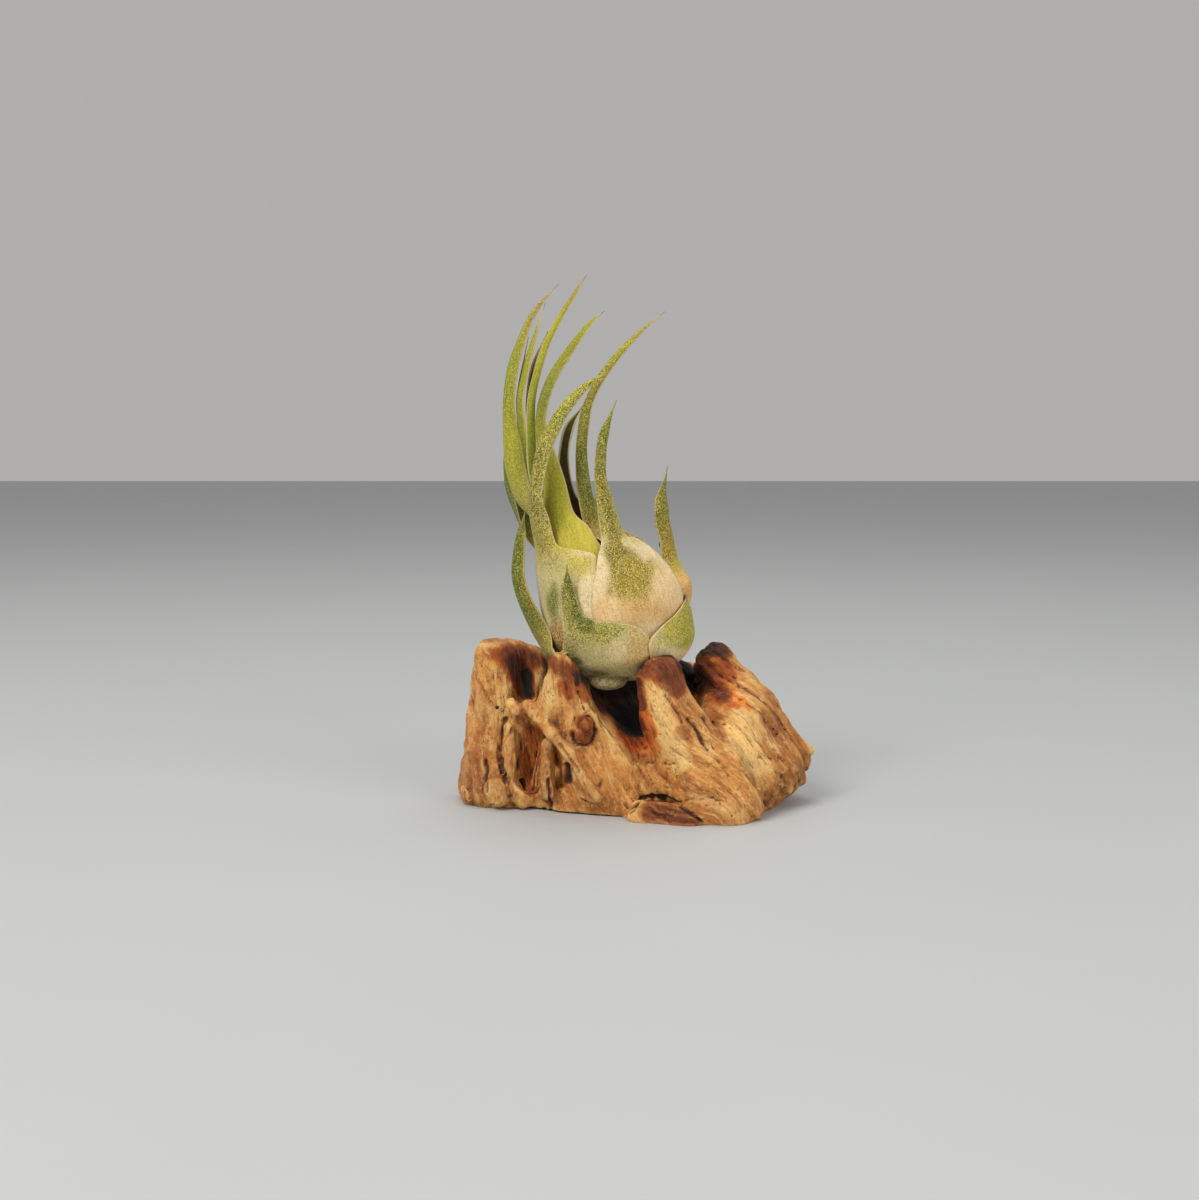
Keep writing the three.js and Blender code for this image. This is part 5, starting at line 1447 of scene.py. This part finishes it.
def largest_body(points, faces):
    """Only the points and faces of the largest connected piece."""
    label = np.arange(len(points))
    while True:
        least = label[faces].min(axis=1)
        merged = label.copy()
        np.minimum.at(merged, faces.ravel(), np.repeat(least, 4))
        merged = merged[merged]
        if np.array_equal(merged, label):
            break
        label = merged
    kept = label == np.bincount(label).argmax()
    number = np.cumsum(kept) - 1
    return points[kept], number[faces[kept[faces[:, 0]]]]


def relaxed(points, faces, share):
    """Each point moved part of the way to the middle of its neighbours."""
    total = np.zeros_like(points)
    count = np.zeros(len(points))
    for a, b in ((0, 1), (1, 2), (2, 3), (3, 0)):
        for one, other in ((faces[:, a], faces[:, b]), (faces[:, b], faces[:, a])):
            np.add.at(total, one, points[other])
            np.add.at(count, one, 1)
    return points + share * (total / count[:, None] - points)


def vertex_normals(mesh):
    normals = np.empty(len(mesh.vertices) * 3)
    mesh.vertex_normals.foreach_get("vector", normals)
    return normals.reshape(-1, 3)


def front_marks(points, normals):
    """How far the marks on the front sink the skin, and how much painted shade darkens them."""
    x, z = front_view(points)
    x = x + MARK_WOBBLE * noise(points, MARK_WOBBLE_SIZE, 81)
    z = z + MARK_WOBBLE * noise(points, MARK_WOBBLE_SIZE, 83)
    facing = smoothstep(*MARK_FACING, -normals[:, 1]) * (points[:, 1] < MARK_BACK)
    sink = np.zeros(len(x))
    dark = np.zeros(len(x))
    for *line, width, depth in FRONT_DENTS:
        share = stroke_share(x, z, (*line, width, width * MARK_TAPER))
        sink = np.maximum(sink, depth * smoothstep(*SINK_FADE, share))
        dark = np.maximum(dark, min(depth / DARK_DEPTH, 1) * smoothstep(*DARK_FADE, share))
    broken = 1 - MARK_BREAKS + MARK_BREAKS * noise(points, 3.7, 87)
    return sink * facing * broken, dark * facing * broken


# Burnt wood, and painted shade where the blackest rows lie in hollows.
def burn_and_shade_share(points, cloth):
    edge = waves(cloth, *BURN_GRAIN_FRAY) + waves(points, *BURN_FRAY)
    burn_and_shade = np.zeros(len(points))
    glow = np.zeros(len(points))
    for start, end, radius_start, radius_end, strength in DEEP_BURNS_AND_SHADE:
        away = limb_distance((start, end, radius_start, radius_end, 1), *points.T)
        share = 1 + away / min(radius_start, radius_end) + edge
        burn_and_shade = np.maximum(burn_and_shade, strength * smoothstep(*DEEP_BURN_FADE, share))
    x, z = front_view(points)
    front = smoothstep(*BURN_BACK, points[:, 1])
    for *stroke, strength, redness in FRONT_BURNS_AND_SHADE:
        share = stroke_share(x, z, stroke) + edge
        here = front * strength * smoothstep(*BURN_FADE, share)
        glow = np.where(here > burn_and_shade, redness, glow)
        burn_and_shade = np.maximum(burn_and_shade, here)
    return burn_and_shade, glow


def wood_tone_and_light(points):
    """Pale, above zero, or dark amber, below zero, by where the front shows it; the pale is partly
    painted light and the dark partly painted shade.
    """
    x, z = front_view(points)
    wander = waves(points, *TONE_FRAY) + waves(points, *TONE_FINE_FRAY)
    tone_and_light = np.zeros(len(points))
    for *stroke, amount in FRONT_TONES_AND_LIGHT:
        tone_and_light += amount * smoothstep(*TONE_FADE, stroke_share(x, z, stroke) + wander)
    return np.clip(tone_and_light, -1, 1) * smoothstep(*TONE_BACK, points[:, 1])


def wear_and_shade_share(points, normals, faces):
    """How far each point stands out of its surroundings, or, below zero, lies in them. The material
    pales what stands out, as wear and painted highlight, and darkens what lies in, as painted
    shade.
    """
    rounded = points
    for _ in range(RELIEF_ROUNDS):
        rounded = relaxed(rounded, faces, 1.0)
    return np.sum((points - rounded) * normals, axis=1)


def skin_sink(points, normals, cloth):
    """How far pits, fine grooves and marks sink the skin, and how much painted shade darkens the
    marks.
    """
    marks, dark = front_marks(points, normals)
    pits = waves(points, *PITS) + waves(cloth, *GRAIN_PITS)
    pits -= grooves(cloth, *FINE_GROOVES)
    lift = np.minimum(pits, 0) - marks
    return lift * smoothstep(*FOOT_FADE, points[:, 2]), dark


def wood_skin():
    """The driftwood, with its grain, cracks and burnt hollows worked into its surface, and painted
    shade in its hollows and cracks.
    """
    points, faces = largest_body(*surface_of(wood_field()))
    points = relaxed(points, faces, 0.5)
    points[:, 2] = np.maximum(points[:, 2], 0)
    mesh = mesh_of("driftwood_skin", points + CENTRE_SHIFT, faces.tolist())
    normals = vertex_normals(mesh)
    cloth = grain_frame(points)
    lift, dark = skin_sink(points, normals, cloth)
    moved = points + normals * lift[:, None]
    moved[:, 2] = np.maximum(moved[:, 2], 0)
    mesh.vertices.foreach_set("co", ((moved + CENTRE_SHIFT) * MM).ravel())
    mesh.update()
    burn_and_shade, glow = burn_and_shade_share(points, cloth)
    across, run, deep = cloth.T
    numbers = dict(
        grain=across, run=run, deep=deep, burn_and_shade=burn_and_shade, glow=glow, tone_and_light=wood_tone_and_light(points),
        wear_and_shade=wear_and_shade_share(moved, normals, faces), dent_shade=np.clip(dark, 0, 1))
    for name, values in numbers.items():
        put_number(mesh, name, values)
    mesh.materials.append(wood_material())
    return new_object("driftwood_skin", mesh)


# ---- putting it together


def place(piece, node):
    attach(piece, "root")
    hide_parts(node)


def add_leaves():
    leaves = {leaf["name"]: leaf for leaf in LEAVES + YOUNG_LEAVES}
    trees = {}

    def build(name):
        if name in trees:
            return
        covers = [outer for inner, outer in PRESSED_BY if inner == name]
        for outer in covers:
            build(outer)
        piece, inner_face = leaf_piece(leaves[name], [trees[outer] for outer in covers])
        piece.data.materials.append(leaf_material(name))
        trees[name] = tree_of(inner_face)
        place(piece, name)

    for name in leaves:
        build(name)


def add_stage():
    corners = [[x * FLOOR_HALF, y * FLOOR_HALF, 0] for x, y in ((-1, -1), (1, -1), (1, 1), (-1, 1))]
    floor = new_object("floor", mesh_of("floor", np.array(corners), [[0, 1, 2, 3]]))
    floor.data.materials.append(floor_material())


def add_light(name, at, size, power, colour):
    data = bpy.data.lights.new(name, "AREA")
    data.shape = "DISK"
    data.size = size
    data.energy = power
    data.color = colour
    light = new_object(name, data)
    light.location = at
    light.rotation_mode = "QUATERNION"
    light.rotation_quaternion = (Vector(LIGHT_AIM) - Vector(at)).to_track_quat("-Z", "Y")


def add_lights():
    for light in LIGHTS:
        add_light(*light)
    world = bpy.data.worlds.new("pale_room")
    world.use_nodes = True
    background = world.node_tree.nodes["Background"]
    background.inputs["Color"].default_value = ROOM_COLOUR
    background.inputs["Strength"].default_value = ROOM_STRENGTH
    bpy.context.scene.world = world


def add_camera():
    data = bpy.data.cameras.new("camera")
    data.lens = LENS
    data.sensor_width = SENSOR
    camera = new_object("camera", data)
    camera.location = Vector((CAMERA_AT + CENTRE_SHIFT) * MM)
    camera.rotation_euler = (math.radians(90 - CAMERA_PITCH), 0, 0)
    bpy.context.scene.camera = camera


bpy.context.scene.view_settings.view_transform = "Standard"
add_camera()
add_lights()
add_stage()
place(wood_skin(), "driftwood")
place(stem_piece(), "stem")
add_leaves()
